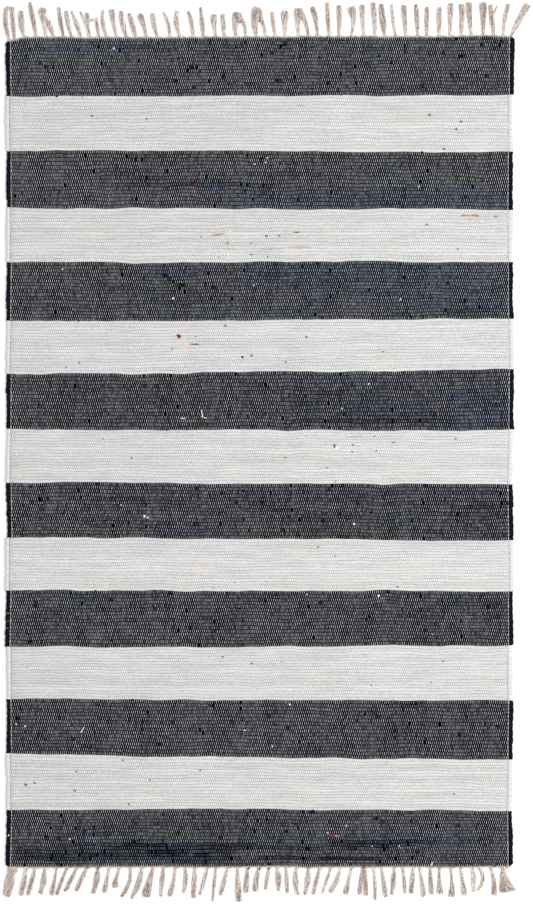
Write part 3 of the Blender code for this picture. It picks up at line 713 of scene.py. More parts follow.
# Slubs, the short ends of rag and fibre that stand out of the weave, charted in mm from the middle of
# the rug: where, how long across the rug, how wide along it, and how many degrees they are turned.
Slub = namedtuple("Slub", "x y long wide turn", defaults=[0])
slubs = {
    "black": [
        Slub(-413, 703, 5, 4), Slub(-388, 688, 5, 4), Slub(-378, 682, 4, 4), Slub(-366, 681, 4, 3),
        Slub(-389, 734, 4, 3), Slub(-424, 732, 4, 3), Slub(-359, 630, 5, 4), Slub(-319, 714, 4, 4),
        Slub(-282, 728, 5, 4), Slub(-283, 649, 5, 4), Slub(-380, 654, 4, 4), Slub(-435, 707, 4, 3),
        Slub(-87, 726, 7, 3), Slub(-80, 699, 5, 4), Slub(-144, 697, 6, 3, 90), Slub(-120, 680, 8, 6, 20),
        Slub(-105, 673, 6, 3, 80), Slub(-171, 662, 7, 3), Slub(-148, 657, 5, 4), Slub(-64, 666, 8, 6, -30),
        Slub(-89, 658, 7, 2, 90), Slub(-116, 647, 6, 3), Slub(-212, 692, 4, 4), Slub(-224, 686, 4, 3),
        Slub(-26, 727, 5, 4), Slub(12, 729, 4, 4), Slub(72, 703, 4, 4), Slub(106, 699, 5, 4),
        Slub(97, 680, 5, 4, 30), Slub(43, 655, 5, 4), Slub(37, 658, 6, 3, 90), Slub(121, 735, 4, 3),
        Slub(147, 729, 4, 4), Slub(22, 708, 6, 3, 80), Slub(5, 703, 4, 4), Slub(-29, 691, 4, 3),
        Slub(93, 643, 5, 4), Slub(121, 653, 6, 3, 90), Slub(197, 736, 4, 3), Slub(211, 701, 7, 3),
        Slub(256, 709, 6, 3, 90), Slub(257, 718, 5, 4), Slub(233, 690, 5, 4), Slub(215, 648, 5, 5),
        Slub(290, 647, 4, 4), Slub(284, 649, 4, 3), Slub(355, 701, 9, 8, 20), Slub(392, 722, 6, 6),
        Slub(427, 728, 7, 3), Slub(338, 668, 8, 3, 90), Slub(400, 666, 5, 4), Slub(444, 703, 4, 3, 90),
        Slub(-80, 482, 5, 4), Slub(-25, 463, 8, 6, 30), Slub(7, 471, 5, 4), Slub(-12, 448, 6, 3),
        Slub(26, 475, 4, 4), Slub(68, 447, 5, 4), Slub(85, 464, 5, 4), Slub(97, 464, 4, 4),
        Slub(-21, 525, 5, 4), Slub(3, 521, 5, 4), Slub(24, 520, 5, 4), Slub(288, 531, 5, 4),
        Slub(-163, 39, 5, 3), Slub(-128, 40, 5, 3), Slub(151, 66, 5, 4), Slub(194, 64, 9, 3),
        Slub(125, 44, 5, 4), Slub(-30, 168, 5, 5, 45), Slub(-375, -657, 5, 4), Slub(-370, -666, 5, 4),
        Slub(-377, -681, 8, 6), Slub(-347, -657, 5, 4), Slub(-310, -671, 5, 4), Slub(-326, -667, 4, 4),
        Slub(-293, -664, 4, 4), Slub(-355, -685, 5, 4), Slub(-367, -716, 5, 4), Slub(-401, -718, 7, 3),
        Slub(-16, -637, 6, 5, 90), Slub(78, -637, 5, 4), Slub(13, -651, 8, 6, 10), Slub(-3, -653, 5, 4),
        Slub(68, -665, 5, 4), Slub(92, -664, 5, 4), Slub(47, -672, 5, 4), Slub(35, -692, 5, 4),
        Slub(71, -646, 4, 4), Slub(77, -734, 5, 3), Slub(208, -650, 7, 6, 40), Slub(218, -653, 6, 4),
        Slub(269, -653, 6, 5), Slub(232, -692, 5, 4), Slub(263, -695, 5, 5), Slub(334, -641, 8, 3, -20),
        Slub(387, -659, 5, 4), Slub(280, -709, 8, 3), Slub(417, -734, 5, 3), Slub(291, -717, 5, 3),
        Slub(-222, -691, 6, 4, 30), Slub(-171, -688, 5, 4, 30), Slub(-143, -674, 6, 3, -60),
        Slub(-108, -669, 8, 4, -30), Slub(-98, -664, 6, 2), Slub(-70, -683, 8, 4, -35),
        Slub(-73, -704, 7, 3), Slub(-137, 296, 12, 5, -15), Slub(-152, 302, 4, 6), Slub(-393, 302, 4, 5),
        Slub(-170, 332, 4, 4), Slub(-81, 292, 5, 4), Slub(-103, 335, 4, 4), Slub(-95, 298, 3, 4),
        Slub(-320, 232, 5, 3), Slub(-424, 264, 4, 3), Slub(77, 329, 4, 4), Slub(103, 333, 5, 4),
        Slub(139, 300, 5, 3), Slub(33, 294, 4, 3), Slub(195, 287, 4, 4), Slub(154, 304, 3, 3),
        Slub(334, 298, 5, 4), Slub(383, 307, 6, 4), Slub(319, 328, 4, 3), Slub(268, 239, 6, 3),
        Slub(330, 251, 5, 4), Slub(249, 333, 4, 3), Slub(70, 248, 4, 3), Slub(111, 238, 4, 3),
        Slub(-405, -62, 8, 5), Slub(-387, -86, 5, 5), Slub(-375, -82, 5, 4), Slub(-347, -109, 4, 5),
        Slub(-287, -57, 9, 4), Slub(-317, -81, 4, 3), Slub(-273, -122, 4, 4), Slub(-232, -125, 4, 3),
        Slub(-259, -140, 4, 4), Slub(-172, -65, 5, 4), Slub(-112, -64, 6, 5), Slub(-68, -74, 5, 5),
        Slub(-203, -93, 4, 4), Slub(-39, -90, 4, 4), Slub(-28, -118, 4, 4), Slub(5, -90, 6, 5),
        Slub(-17, -140, 4, 4), Slub(148, -58, 5, 4), Slub(142, -111, 9, 4), Slub(114, -122, 7, 5),
        Slub(42, -138, 6, 6), Slub(221, -83, 5, 3), Slub(187, -118, 4, 4), Slub(199, -108, 4, 3),
        Slub(295, -59, 8, 4), Slub(310, -73, 4, 3), Slub(421, -70, 5, 4), Slub(440, -91, 7, 3),
        Slub(270, -121, 3, 4), Slub(-396, -266, 4, 5), Slub(-398, -273, 4, 4), Slub(-334, -250, 4, 4),
        Slub(-290, -246, 5, 4), Slub(-263, -263, 5, 4), Slub(-352, -282, 5, 4), Slub(-229, -325, 5, 3),
        Slub(-263, -334, 6, 4), Slub(-411, -322, 6, 4), Slub(-406, -336, 6, 5), Slub(-158, -251, 8, 4),
        Slub(-185, -278, 4, 4), Slub(-122, -311, 6, 5), Slub(-77, -316, 4, 4), Slub(-36, -278, 4, 5),
        Slub(-57, -249, 5, 3), Slub(10, -264, 3, 4), Slub(29, -253, 9, 5), Slub(109, -266, 7, 5),
        Slub(228, -248, 6, 4), Slub(188, -296, 5, 4), Slub(195, -291, 4, 4), Slub(293, -316, 5, 3),
        Slub(378, -290, 5, 4), Slub(357, -300, 4, 4), Slub(405, -274, 7, 4), Slub(324, -265, 4, 3),
        Slub(192, -331, 4, 3), Slub(262, -255, 3, 3), Slub(-428, -472, 6, 5), Slub(-384, -443, 4, 4),
        Slub(-393, -500, 6, 5), Slub(-378, -510, 5, 4), Slub(-331, -510, 5, 4), Slub(-207, -514, 5, 4),
        Slub(-178, -517, 9, 4), Slub(-232, -475, 4, 4), Slub(-207, -478, 4, 3), Slub(-154, -480, 4, 5),
        Slub(-70, -468, 5, 3), Slub(16, -468, 5, 4), Slub(-225, -439, 7, 3), Slub(-300, -524, 4, 4),
        Slub(-353, -471, 4, 3), Slub(51, -488, 5, 4), Slub(70, -512, 4, 6), Slub(103, -497, 3, 3),
        Slub(172, -477, 6, 4), Slub(187, -464, 4, 4), Slub(209, -470, 4, 4), Slub(241, -494, 6, 4),
        Slub(240, -506, 3, 4), Slub(277, -446, 7, 5), Slub(268, -446, 4, 5), Slub(224, -448, 5, 3),
        Slub(256, -457, 4, 3), Slub(278, -503, 4, 4), Slub(366, -468, 5, 6), Slub(345, -466, 3, 4),
        Slub(399, -483, 4, 3), Slub(421, -486, 7, 4),
    ],
    "navy": [
        Slub(44, 722, 8, 7), Slub(94, 718, 7, 3), Slub(-41, 716, 5, 4), Slub(170, 681, 7, 4, 90),
        Slub(325, 706, 5, 4), Slub(379, 705, 7, 3), Slub(-314, -709, 5, 4), Slub(94, -637, 9, 7),
        Slub(63, -659, 5, 4), Slub(170, -704, 8, 6), Slub(-166, 312, 12, 4, -30), Slub(-160, 307, 7, 3, 10),
        Slub(-205, 308, 6, 2), Slub(-28, -69, 5, 5), Slub(-115, -127, 6, 3), Slub(124, -68, 8, 4),
    ],
    "white": [
        Slub(-258, 715, 4, 4), Slub(14, 521, 4, 3), Slub(-8, 510, 4, 3), Slub(-444, -679, 3, 4),
        Slub(-336, -686, 4, 3), Slub(200, -698, 2.5, 3), Slub(248, -698, 3, 3), Slub(-12, 187, 7, 5),
        Slub(-84, 167, 5, 4), Slub(137, 7, 8, 7, 30), Slub(19, 387, 5, 4, 60), Slub(-57, 351, 4, 5),
        Slub(-52, 390, 5, 4), Slub(394, 408, 4, 5), Slub(-101, 63, 4, 3), Slub(-94, 60, 3, 3),
        Slub(-203, -114, 5, 5), Slub(-197.5, -116.5, 6, 3), Slub(167.5, -127.6, 4, 6, 15),
        Slub(23, -522, 3.5, 4), Slub(193.3, 120.4, 4, 4), Slub(282.4, 470.3, 3, 4), Slub(54, -447, 4, 5),
        Slub(-26, -493, 4, 3), Slub(-415, -486, 4, 3), Slub(-431, -482, 3, 4), Slub(-245, -94, 3, 3),
        Slub(-153, 272, 4, 4), Slub(-10, 295, 3, 3), Slub(-349, 324, 3, 3), Slub(250, 271, 2.5, 5),
        Slub(211, -255, 4, 5), Slub(84, -252, 3, 3), Slub(306, -323, 3, 3),
    ],
    "grey": [
        Slub(13, 383, 5, 3), Slub(35, 383, 4, 3), Slub(62, 389, 4, 2), Slub(327, 537, 5, 4),
        Slub(358, 585, 5, 4), Slub(349, 572, 5, 4), Slub(302, 597, 5, 4), Slub(-414, -590, 5, 4),
        Slub(-398, -586, 5, 4), Slub(-60, 224, 5, 4), Slub(-14, 171, 5, 3), Slub(-320, 158, 4, 3),
        Slub(204, 28, 4, 3), Slub(238, 17, 5, 2), Slub(-14, 370, 3, 3), Slub(15, 346, 3, 3),
        Slub(-72, 345, 3, 3), Slub(166, 13, 5, 2), Slub(207, 1, 3, 3), Slub(-97, -73.6, 8, 3),
        Slub(-446, -285.5, 4, 2), Slub(-445.5, -299.5, 3.5, 2), Slub(-446.5, -312, 3, 2),
    ],
    "orange": [
        Slub(362, 419, 10, 3), Slub(382, 419, 13, 4), Slub(371, 419, 6, 2), Slub(419, 417, 7, 3),
        Slub(-73, 385, 22, 2), Slub(-56, 370, 3, 7), Slub(70, 363, 36, 1),
    ],
    "crimson": [
        Slub(-143, 205, 8, 7), Slub(131, -679, 5, 4), Slub(179, -282, 5, 3),
    ],
    "plum": [
        Slub(-117.5, 476.5, 11, 6.5),
    ],
    "teal": [
        Slub(247, 511.6, 8, 4),
    ],
    "pink": [
        Slub(11, 513, 5, 3), Slub(137, -680, 7, 2), Slub(-53, 359, 20, 1), Slub(18, 359, 34, 1),
        Slub(-162, 565, 28, 1), Slub(168, 27, 28, 1), Slub(121, -675, 4, 3), Slub(146, 77, 4, 3),
    ],
    "brown": [
        Slub(-114, 191, 15, 2), Slub(68, 389, 9, 2), Slub(133, 11, 3, 7), Slub(-305, -737, 5, 3),
        Slub(-285, -736, 5, 3), Slub(-19, -738, 5, 3), Slub(0, -739, 4, 4), Slub(17, -738, 5, 3),
        Slub(87, -736, 3, 3), Slub(185, -736, 5, 4),
    ],
    "yellow": [
        Slub(73, 613, 13, 1), Slub(154, -662, 4, 4),
    ],
}


# the warp yarns where they lie over the dark rags

warpFloat = {
    "halfWidth": 0.36,
    "widthUneven": 0.03,
    "halfLength": 0.54,  # in rags
    "proud": 0.5,
    "lengthUneven": (0.93, 1.05),
    "shoulder": 0.62,  # where along it a float's ends begin to dip
    "tipsSink": 1.9,
    "lean": 0.05,
    "missing": 0.003,
    "hidden": 0.12,  # how many more are missing where a rag covers them
    "narrower": 0.15,  # how much narrower, shorter and darker the others are there
    "shorter": 0.35,
    "duller": 0.62,
    "slubReach": 0.56,  # how near a dark slub they are darker, in its lengths, and how pale they stay
    "bySlub": 0.1,
    # how much paler than middling the yarns are over each dark stripe
    "stripeTones": {0: 0.225, 2: 0.195, 4: 0.165, 6: 0.10, 8: 0.10, 10: 0.15, 12: 0.16, 14: 0.13},
    # how much they differ one by one, from area to area, along each rag and along each warp yarn
    "oneByOne": 0.2,
    "byArea": 0.05,
    "byRag": 0.14,
    "byWarp": 0.09,
}

# the thicker yarn beside each selvedge
edgeWarp = {
    "halfWidth": 0.85,
    "halfLength": 0.56,
    "uneven": (0.8, 1.1),
    "slighter": 0.6,  # its size over the light rags
    "sideIn": 8.6,
    "height": 5.4,
    "wander": 0.2,
    "lean": 0.1,
    # its tone over the light rags is lowered as painted shade of the gaps between rags; over the dark rags it
    # is its own
    "lightTone": 0.3,
    "darkTone": 0.62,
    "toneUneven": 0.15,
    "seed": 31,
}


# a stretch of yarn from -1 to 1, its ends dipped and its belly closed
def makeUnitFloat():
    bm = bmesh.new()
    bmesh.ops.create_grid(bm, x_segments=2, y_segments=3, size=1.0)
    for vert in bm.verts:
        if abs(vert.co.y) < 0.5:
            vert.co.y = math.copysign(warpFloat["shoulder"], vert.co.y)
            vert.co.z = 1.0 if abs(vert.co.x) < 0.5 else 0.0
    for end in (-1, 1):
        row = [vert for vert in bm.verts if abs(vert.co.y - end) < 0.001]
        bmesh.ops.pointmerge(bm, verts=row, merge_co=(0, end, -warpFloat["tipsSink"]))
    upper = len(bm.faces)
    bmesh.ops.holes_fill(bm, edges=bm.edges, sides=0)
    bmesh.ops.recalc_face_normals(bm, faces=bm.faces)
    yarnUv = bm.loops.layers.uv.new("float")
    bakeUv = bm.loops.layers.uv.new("OFBake")
    for number, face in enumerate(bm.faces):
        for loop in face.loops:
            u = 0.5 + 0.5 * loop.vert.co.x
            v = 0.5 + 0.5 * loop.vert.co.y
            loop[yarnUv].uv = (u, v)
            # the belly has its own part of the bake map
            loop[bakeUv].uv = (u, 0.62 * v) if number < upper else (u, 0.70 + 0.3 * v)
    mesh = meshFrom(bm, "unitFloat")
    mesh.shade_smooth()
    unit = bpy.data.objects.new("unitFloat", mesh)
    bpy.context.collection.objects.link(unit)
    return unit


# a copy of the unit on each point, with the point's own size and turn
def makeScatterTree(name, unit):
    tree = bpy.data.node_groups.new(name + "Scatter", "GeometryNodeTree")
    for way in ("INPUT", "OUTPUT"):
        tree.interface.new_socket("Geometry", in_out=way, socket_type="NodeSocketGeometry")
    given = tree.nodes.new("NodeGroupInput")
    put = tree.nodes.new("NodeGroupOutput")
    source = tree.nodes.new("GeometryNodeObjectInfo")
    source.inputs["Object"].default_value = unit
    copies = tree.nodes.new("GeometryNodeInstanceOnPoints")
    real = tree.nodes.new("GeometryNodeRealizeInstances")
    for title, socket in (("size", "Scale"), ("turn", "Rotation")):
        named = tree.nodes.new("GeometryNodeInputNamedAttribute")
        named.data_type = "FLOAT_VECTOR"
        named.inputs["Name"].default_value = title
        tree.links.new(named.outputs["Attribute"], copies.inputs[socket])
    tree.links.new(given.outputs[0], copies.inputs["Points"])
    tree.links.new(source.outputs["Geometry"], copies.inputs["Instance"])
    tree.links.new(copies.outputs[0], real.inputs[0])
    tree.links.new(real.outputs[0], put.inputs[0])
    return tree


# each copy has its own small square of the bake map
def spreadBakeMap(mesh, copies):
    uv = np.zeros(len(mesh.loops) * 2)
    mesh.uv_layers["OFBake"].data.foreach_get("uv", uv)
    copyHere = np.repeat(np.arange(copies), len(mesh.loops) // copies)
    cells = math.ceil(math.sqrt(copies))
    corner = np.column_stack([copyHere % cells, copyHere // cells])
    uv = (corner + bakeMargin + (1 - 2 * bakeMargin) * uv.reshape(-1, 2)) / cells
    mesh.uv_layers["OFBake"].data.foreach_set("uv", uv.ravel())


# one copy of the unit at each place, by Geometry Nodes with the instances made real
def scatter(name, unit, places, width, length, turn, facts, material):
    sizes = np.column_stack([width, length, np.full(len(places), warpFloat["proud"])])
    turns = np.column_stack([np.zeros((len(places), 2)), turn])
    spots = bpy.data.meshes.new(name + "Spots")
    spots.vertices.add(len(places))
    spots.vertices.foreach_set("co", (places * mm).ravel())
    for title, values in (("size", sizes * mm), ("turn", turns)):
        spots.attributes.new(title, "FLOAT_VECTOR", "POINT").data.foreach_set("vector", values.ravel())
    for title, values in facts.items():
        spots.attributes.new(title, "FLOAT", "POINT").data.foreach_set("value", values)
    holder = bpy.data.objects.new(name + "Spots", spots)
    bpy.context.collection.objects.link(holder)
    tree = makeScatterTree(name, unit)
    holder.modifiers.new("scatter", "NODES").node_group = tree
    made = holder.evaluated_get(bpy.context.evaluated_depsgraph_get())
    mesh = bpy.data.meshes.new_from_object(made)
    mesh.name = name
    bpy.data.objects.remove(holder)
    bpy.data.meshes.remove(spots)
    bpy.data.node_groups.remove(tree)
    for title in ("size", "turn"):
        mesh.attributes.remove(mesh.attributes[title])
    spreadBakeMap(mesh, len(places))
    mesh.uv_layers["float"].active_render = True
    mesh.materials.clear()
    mesh.materials.append(material)
    return placed(name, mesh)


# how far along the rug a float's middle lies, and how far it is there from one rag to the next
def ragMiddle(x, middle):
    ahead = alongAt(x, middle - 0.5)
    pitch = ahead - alongAt(x, middle + 0.5)
    return ahead - pitch / 2, pitch


# how pale each float is, from 0 to 1
def floatTones(x, y, middle, cover, rng):
    tones = warpFloat["stripeTones"]
    tone = 0.5 + np.interp(stripeAt(middle), list(tones), list(tones.values()))
    tone = tone + warpFloat["oneByOne"] * rng.normal(0, 1, len(x))
    tone = tone + warpFloat["byArea"] * softNoise(x / 60, middle / 7, 12)
    tone = tone + warpFloat["byRag"] * softNoise(x / 90, np.floor(middle) * 1.3, 13)
    tone = tone + warpFloat["byWarp"] * softNoise(x / 16, middle / 30, 14)
    for slub in slubs["black"] + slubs["navy"]:
        away = np.hypot((x - slub.x) / slub.long, (y - slub.y) / slub.wide)
        tone = np.where(away < warpFloat["slubReach"], tone * warpFloat["bySlub"], tone)
    return np.clip(tone * (1 - warpFloat["duller"] * cover), 0, 1)


def makeFloats(name, unit, chosen, seed, material):
    rng = np.random.default_rng(seed)
    most = int((layout["halfWidth"] - layout["fieldFrom"]) / layout["warpPitch"])
    rags = np.concatenate([np.arange(stripeStarts[index], stripeStarts[index + 1]) for index in chosen])
    warp, rag = np.meshgrid(np.arange(-most, most + 1), rags)
    over = (warp + rag) % 2 == 1
    x = warp[over] * layout["warpPitch"]
    middle = rag[over] + 0.5
    shows = rng.random(len(x)) > warpFloat["missing"] + warpFloat["hidden"] * coverAt(x, middle) ** 2
    x = x[shows]
    middle = middle[shows]
    cover = coverAt(x, middle)
    lean = warpSway(x, middle - 0.5) - warpSway(x, middle + 0.5)
    x = x + warpSway(x, middle)
    along, pitch = ragMiddle(x, middle)
    places = np.column_stack([acrossAt(x, middle), along, layout["ragTop"] + lumpAt(x, middle)])
    width = warpFloat["halfWidth"] + warpFloat["widthUneven"] * rng.uniform(-1, 1, len(x))
    width = width * (1 - warpFloat["narrower"] * cover)
    length = warpFloat["halfLength"] * pitch * rng.uniform(*warpFloat["lengthUneven"], len(x))
    length = length * (1 - warpFloat["shorter"] * cover)
    turn = -lean / pitch + warpFloat["lean"] * rng.normal(0, 1, len(x))
    facts = {"floatTone": floatTones(x, along, middle, cover, rng), "floatTint": tintAt(x, middle)}
    print(name, "has", len(x), "floats")
    return scatter(name, unit, places, width, length, turn, facts, material)


# a stretch of the edge yarn lies over every rag
def makeEdgeWarps(unit, material):
    rng = np.random.default_rng(edgeWarp["seed"])
    middle = np.tile(np.arange(ragCount) + 0.5, 2)
    side = np.repeat([-1, 1], ragCount)
    x = side * (layout["halfWidth"] - edgeWarp["sideIn"])
    along, pitch = ragMiddle(x, middle)
    height = edgeWarp["height"] + edgeWarp["wander"] * rng.uniform(-1, 1, len(x))
    across = acrossAt(x, middle) + edgeWarp["wander"] * rng.uniform(-1, 1, len(x))
    places = np.column_stack([across, along, height])
    light = isLight(middle)
    slighter = np.where(light, edgeWarp["slighter"], 1.0)
    width = edgeWarp["halfWidth"] * slighter * rng.uniform(*edgeWarp["uneven"], len(x))
    length = edgeWarp["halfLength"] * slighter * pitch * rng.uniform(*edgeWarp["uneven"], len(x))
    turn = edgeWarp["lean"] * rng.normal(0, 1, len(x))
    # over the light rags the edge yarn is painted darker and brownish, as painted shade in the gaps between
    # rags beside it; over the dark rags it shows its own pale beige
    tone = np.where(light, edgeWarp["lightTone"], edgeWarp["darkTone"])
    tone = tone + edgeWarp["toneUneven"] * rng.normal(0, 1, len(x))
    facts = {"floatTone": np.clip(tone, 0, 1), "floatTint": np.zeros(len(x))}
    return scatter("edgeWarps", unit, places, width, length, turn, facts, material)


floatLook = {
    "dull": (0.15, 0.152, 0.168),
    "bright": (0.89, 0.90, 0.98),
    "edgeDull": (0.26, 0.21, 0.18),
    "edgeBright": (0.70, 0.65, 0.625),
    "navyCast": (0.84, 0.90, 1.0),
    "brownCast": (1.02, 0.98, 0.92),
    "endsShade": 0.85,
    "plyTurns": 4.0,
    "grooveShade": 0.8,
    "grooveDepth": 0.15,
}


def makeFloatMaterial(name, dull, bright):
    look = floatLook
    material, tree, shader = newMaterial(name, 0.92, gloss=0.1)
    u, v, _ = separated(tree, uvMap(tree, "float"))
    tone = attribute(tree, "floatTone")
    tint = attribute(tree, "floatTint")
    colour = mixed(tree, maths(tree, "POWER", tone, 1.1), dull, bright)
    colour = mixed(tree, ranged(tree, tint, 0.05, 0.8), colour, scaled(tree, colour, *look["navyCast"]))
    colour = mixed(tree, ranged(tree, tint, 0.0, -0.7), colour, scaled(tree, colour, *look["brownCast"]))
    colour = shaded(tree, colour, ranged(tree, fromMiddle(tree, v), 0.3, 0.5, 1.0, look["endsShade"]))
    turn = maths(tree, "MULTIPLY_ADD", v, look["plyTurns"], u)
    groove = ranged(tree, fromMiddle(tree, turn), 0.3, 0.5)
    colour = shaded(tree, colour, ranged(tree, groove, 0.0, 1.0, 1.0, look["grooveShade"], False))
    plug(tree, shader.inputs["Base Color"], colour)
    addBump(tree, shader, groove, -look["grooveDepth"] * mm, 0.5)
    return material


slubLook = {
    "colours": {
        "black": (0.004, 0.004, 0.006), "navy": (0.003, 0.007, 0.022), "white": (0.72, 0.73, 0.745),
        "grey": (0.17, 0.17, 0.165), "orange": (0.46, 0.24, 0.12), "crimson": (0.26, 0.035, 0.05),
        "pink": (0.56, 0.40, 0.37), "brown": (0.14, 0.085, 0.06), "yellow": (0.60, 0.50, 0.30),
        "plum": (0.055, 0.003, 0.031), "teal": (0.03, 0.13, 0.165),
    },
    "clothHeight": 5.9,
    "selvedgeHeight": 6.2,
    "selvedgeFrom": 442,
    "bandHeight": 3.2,
    "bandFrom": 733,
    "rise": {"black": 1.0, "navy": 1.0, "brown": 0.7, "crimson": 0.8, "plum": 1.0, "teal": 0.9},
    "otherRise": 0.55,
    "lumps": 0.72,
    "lumpSizes": (400, 900),  # coarse and fine, in lumps to the metre
    "coarseLumps": 0.6,
    "turnUneven": 8,
    "shrink": {"black": 0.78, "navy": 0.85, "white": 0.85},
    # faint ones strewn over the light stripes, how many and how long at most
    "extra": {"grey": (40, 5), "white": (26, 6)},
    "extraReach": 435,
    "extraShortest": 2.2,
    "extraWidths": (1.8, 3.0),
    "seed": 41,
}


def extraSlubs(rng, count, longest):
    found = []
    while len(found) < count:
        x = rng.uniform(-slubLook["extraReach"], slubLook["extraReach"])
        rag = rng.uniform(1, ragCount - 1)
        if isLight(rag):
            long = rng.uniform(slubLook["extraShortest"], longest)
            found.append(Slub(x, float(alongAt(x, rag)), long, rng.uniform(*slubLook["extraWidths"])))
    return found


# a lumpy flat pebble of fibre, set into the weave
def addSlub(bm, colourLayer, slub, colour, rng):
    height = slubLook["selvedgeHeight"] if abs(slub.x) > slubLook["selvedgeFrom"] else slubLook["clothHeight"]
    if abs(slub.y) > slubLook["bandFrom"]:
        height = slubLook["bandHeight"]
    place = Vector((slub.x, slub.y, height)) * mm
    half = slubLook["shrink"].get(colour, 1.0) / 2 * mm
    rise = slubLook["rise"].get(colour, slubLook["otherRise"])
    size = Matrix.Diagonal((slub.long * half, slub.wide * half, rise * mm, 1.0))
    turn = slub.turn + rng.uniform(-slubLook["turnUneven"], slubLook["turnUneven"])
    matrix = Matrix.Translation(place) @ Matrix.Rotation(math.radians(turn), 4, "Z") @ size
    coarse, fine = slubLook["lumpSizes"]
    for vert in bmesh.ops.create_icosphere(bm, subdivisions=2, radius=1.0, matrix=matrix)["verts"]:
        lump = noise.noise(vert.co * fine) + slubLook["coarseLumps"] * noise.noise(vert.co * coarse)
        vert.co = place + (vert.co - place) * (1 + slubLook["lumps"] * lump)
        vert[colourLayer] = (*slubLook["colours"][colour], 1.0)


def makeSlubs(material):
    rng = random.Random(slubLook["seed"])
    charted = {colour: list(rows) for colour, rows in slubs.items()}
    for colour, (count, longest) in slubLook["extra"].items():
        charted[colour] += extraSlubs(rng, count, longest)
    bm = bmesh.new()
    colourLayer = bm.verts.layers.float_color.new("slubColour")
    for colour, rows in charted.items():
        for slub in rows:
            addSlub(bm, colourLayer, slub, colour, rng)
    mesh = meshFrom(bm, "slubs")
    mesh.materials.append(material)
    mesh.shade_smooth()
    print("slubs:", sum(len(rows) for rows in charted.values()))
    return placed("slubs", mesh)


def makeSlubMaterial():
    material, tree, shader = newMaterial("slubFibre", 0.95, gloss=0.05)
    fibre = noisy(tree, scaled(tree, objectPlace(tree), 900.0, 1400.0, 900.0), 1.0, 3.0, 0.6)
    colour = shaded(tree, attribute(tree, "slubColour", "Color"), ranged(tree, fibre, 0.3, 0.7, 0.7, 1.25))
    plug(tree, shader.inputs["Base Color"], colour)
    addBump(tree, shader, fibre, 0.3 * mm, 0.5)
    return material


# the fringes

# One row per tassel from the left: where it leaves the cloth, how far its tip leans right, how far it
# reaches, how far its middle bends right, and its width in the middle, at the tip, and at the root
# where that isn't the usual one.
Tassel = namedtuple("Tassel", "root lean reach bow wide tip rootWide", defaults=[0])
farTassels = [
    Tassel(-444, -5, 59, -3, 7, 6), Tassel(-434, -5, 61, 0, 6, 6), Tassel(-417, -5, 50, -2, 9, 8),
    Tassel(-396, -12, 63, 1, 7, 6), Tassel(-378, -8, 54, 0, 6, 13), Tassel(-365, -9, 30, 0, 6, 6),
    Tassel(-347, -9, 54, -1, 6, 5), Tassel(-333, -10, 48, -1, 6, 5), Tassel(-317, -16, 47, 1, 7, 3),
    Tassel(-303, -15, 47, 3, 4, 4), Tassel(-300.5, -4, 46, -2, 5, 6), Tassel(-285, -4, 36, 0, 5, 4),
    Tassel(-271, -6, 49, -3, 6, 4), Tassel(-253, -9, 51, -1, 6, 9),
    Tassel(-236, -10, 48, -1, 8, 7), Tassel(-219, -12, 44, 0, 8, 6), Tassel(-201, -12, 43, 2, 6, 10),
    Tassel(-180, -9, 44, -2, 7, 8), Tassel(-159, -11, 46, 3, 5, 4), Tassel(-141, -5, 48, -3, 8, 6),
    Tassel(-117, -8, 47, 1, 7, 6), Tassel(-99, -5, 54, 0, 8, 3), Tassel(-77, -4, 41, -1, 6, 11),
    Tassel(-62, -3, 42, 0, 7, 7), Tassel(-41, 3, 45, -3, 8, 15), Tassel(-25, -13, 42, 5, 5, 5),
    Tassel(-5, 2, 54, -4, 10, 17), Tassel(11, -14, 50, 2, 5, 5), Tassel(28, -6, 47, 0, 6, 6),
    Tassel(46, -1, 48, 0, 8, 14), Tassel(70, 0, 52, -2, 7, 15), Tassel(87, -15, 50, 2, 6, 6),
    Tassel(103, -9, 53, 2, 6, 10), Tassel(124, -4, 61, 0, 7, 6), Tassel(141, 0, 57, 1, 7, 8),
    Tassel(163, -1, 54, 4, 5, 14), Tassel(185, -3, 57, 0, 6, 9), Tassel(205, -4, 62, 1, 7, 9),
    Tassel(222, -6, 59, 0, 10, 8), Tassel(242, -8, 58, -1, 5, 4), Tassel(260, -4, 57, 0, 7, 10),
    Tassel(281, -3, 58, 0, 7, 7), Tassel(297, 0, 54, 0, 7, 6), Tassel(319, 0, 53, 0, 8, 9),
    Tassel(338, 1, 60, 0, 7, 9), Tassel(357, 1, 58, 2, 8, 8), Tassel(376, -4, 61, -1, 7, 11),
    Tassel(397, 0, 60, 0, 8, 13), Tassel(415.5, -6, 56, 0, 8, 6), Tassel(433, 9, 59, -2.5, 6, 7),
    Tassel(447, 30, 58, -1, 9, 12),
]
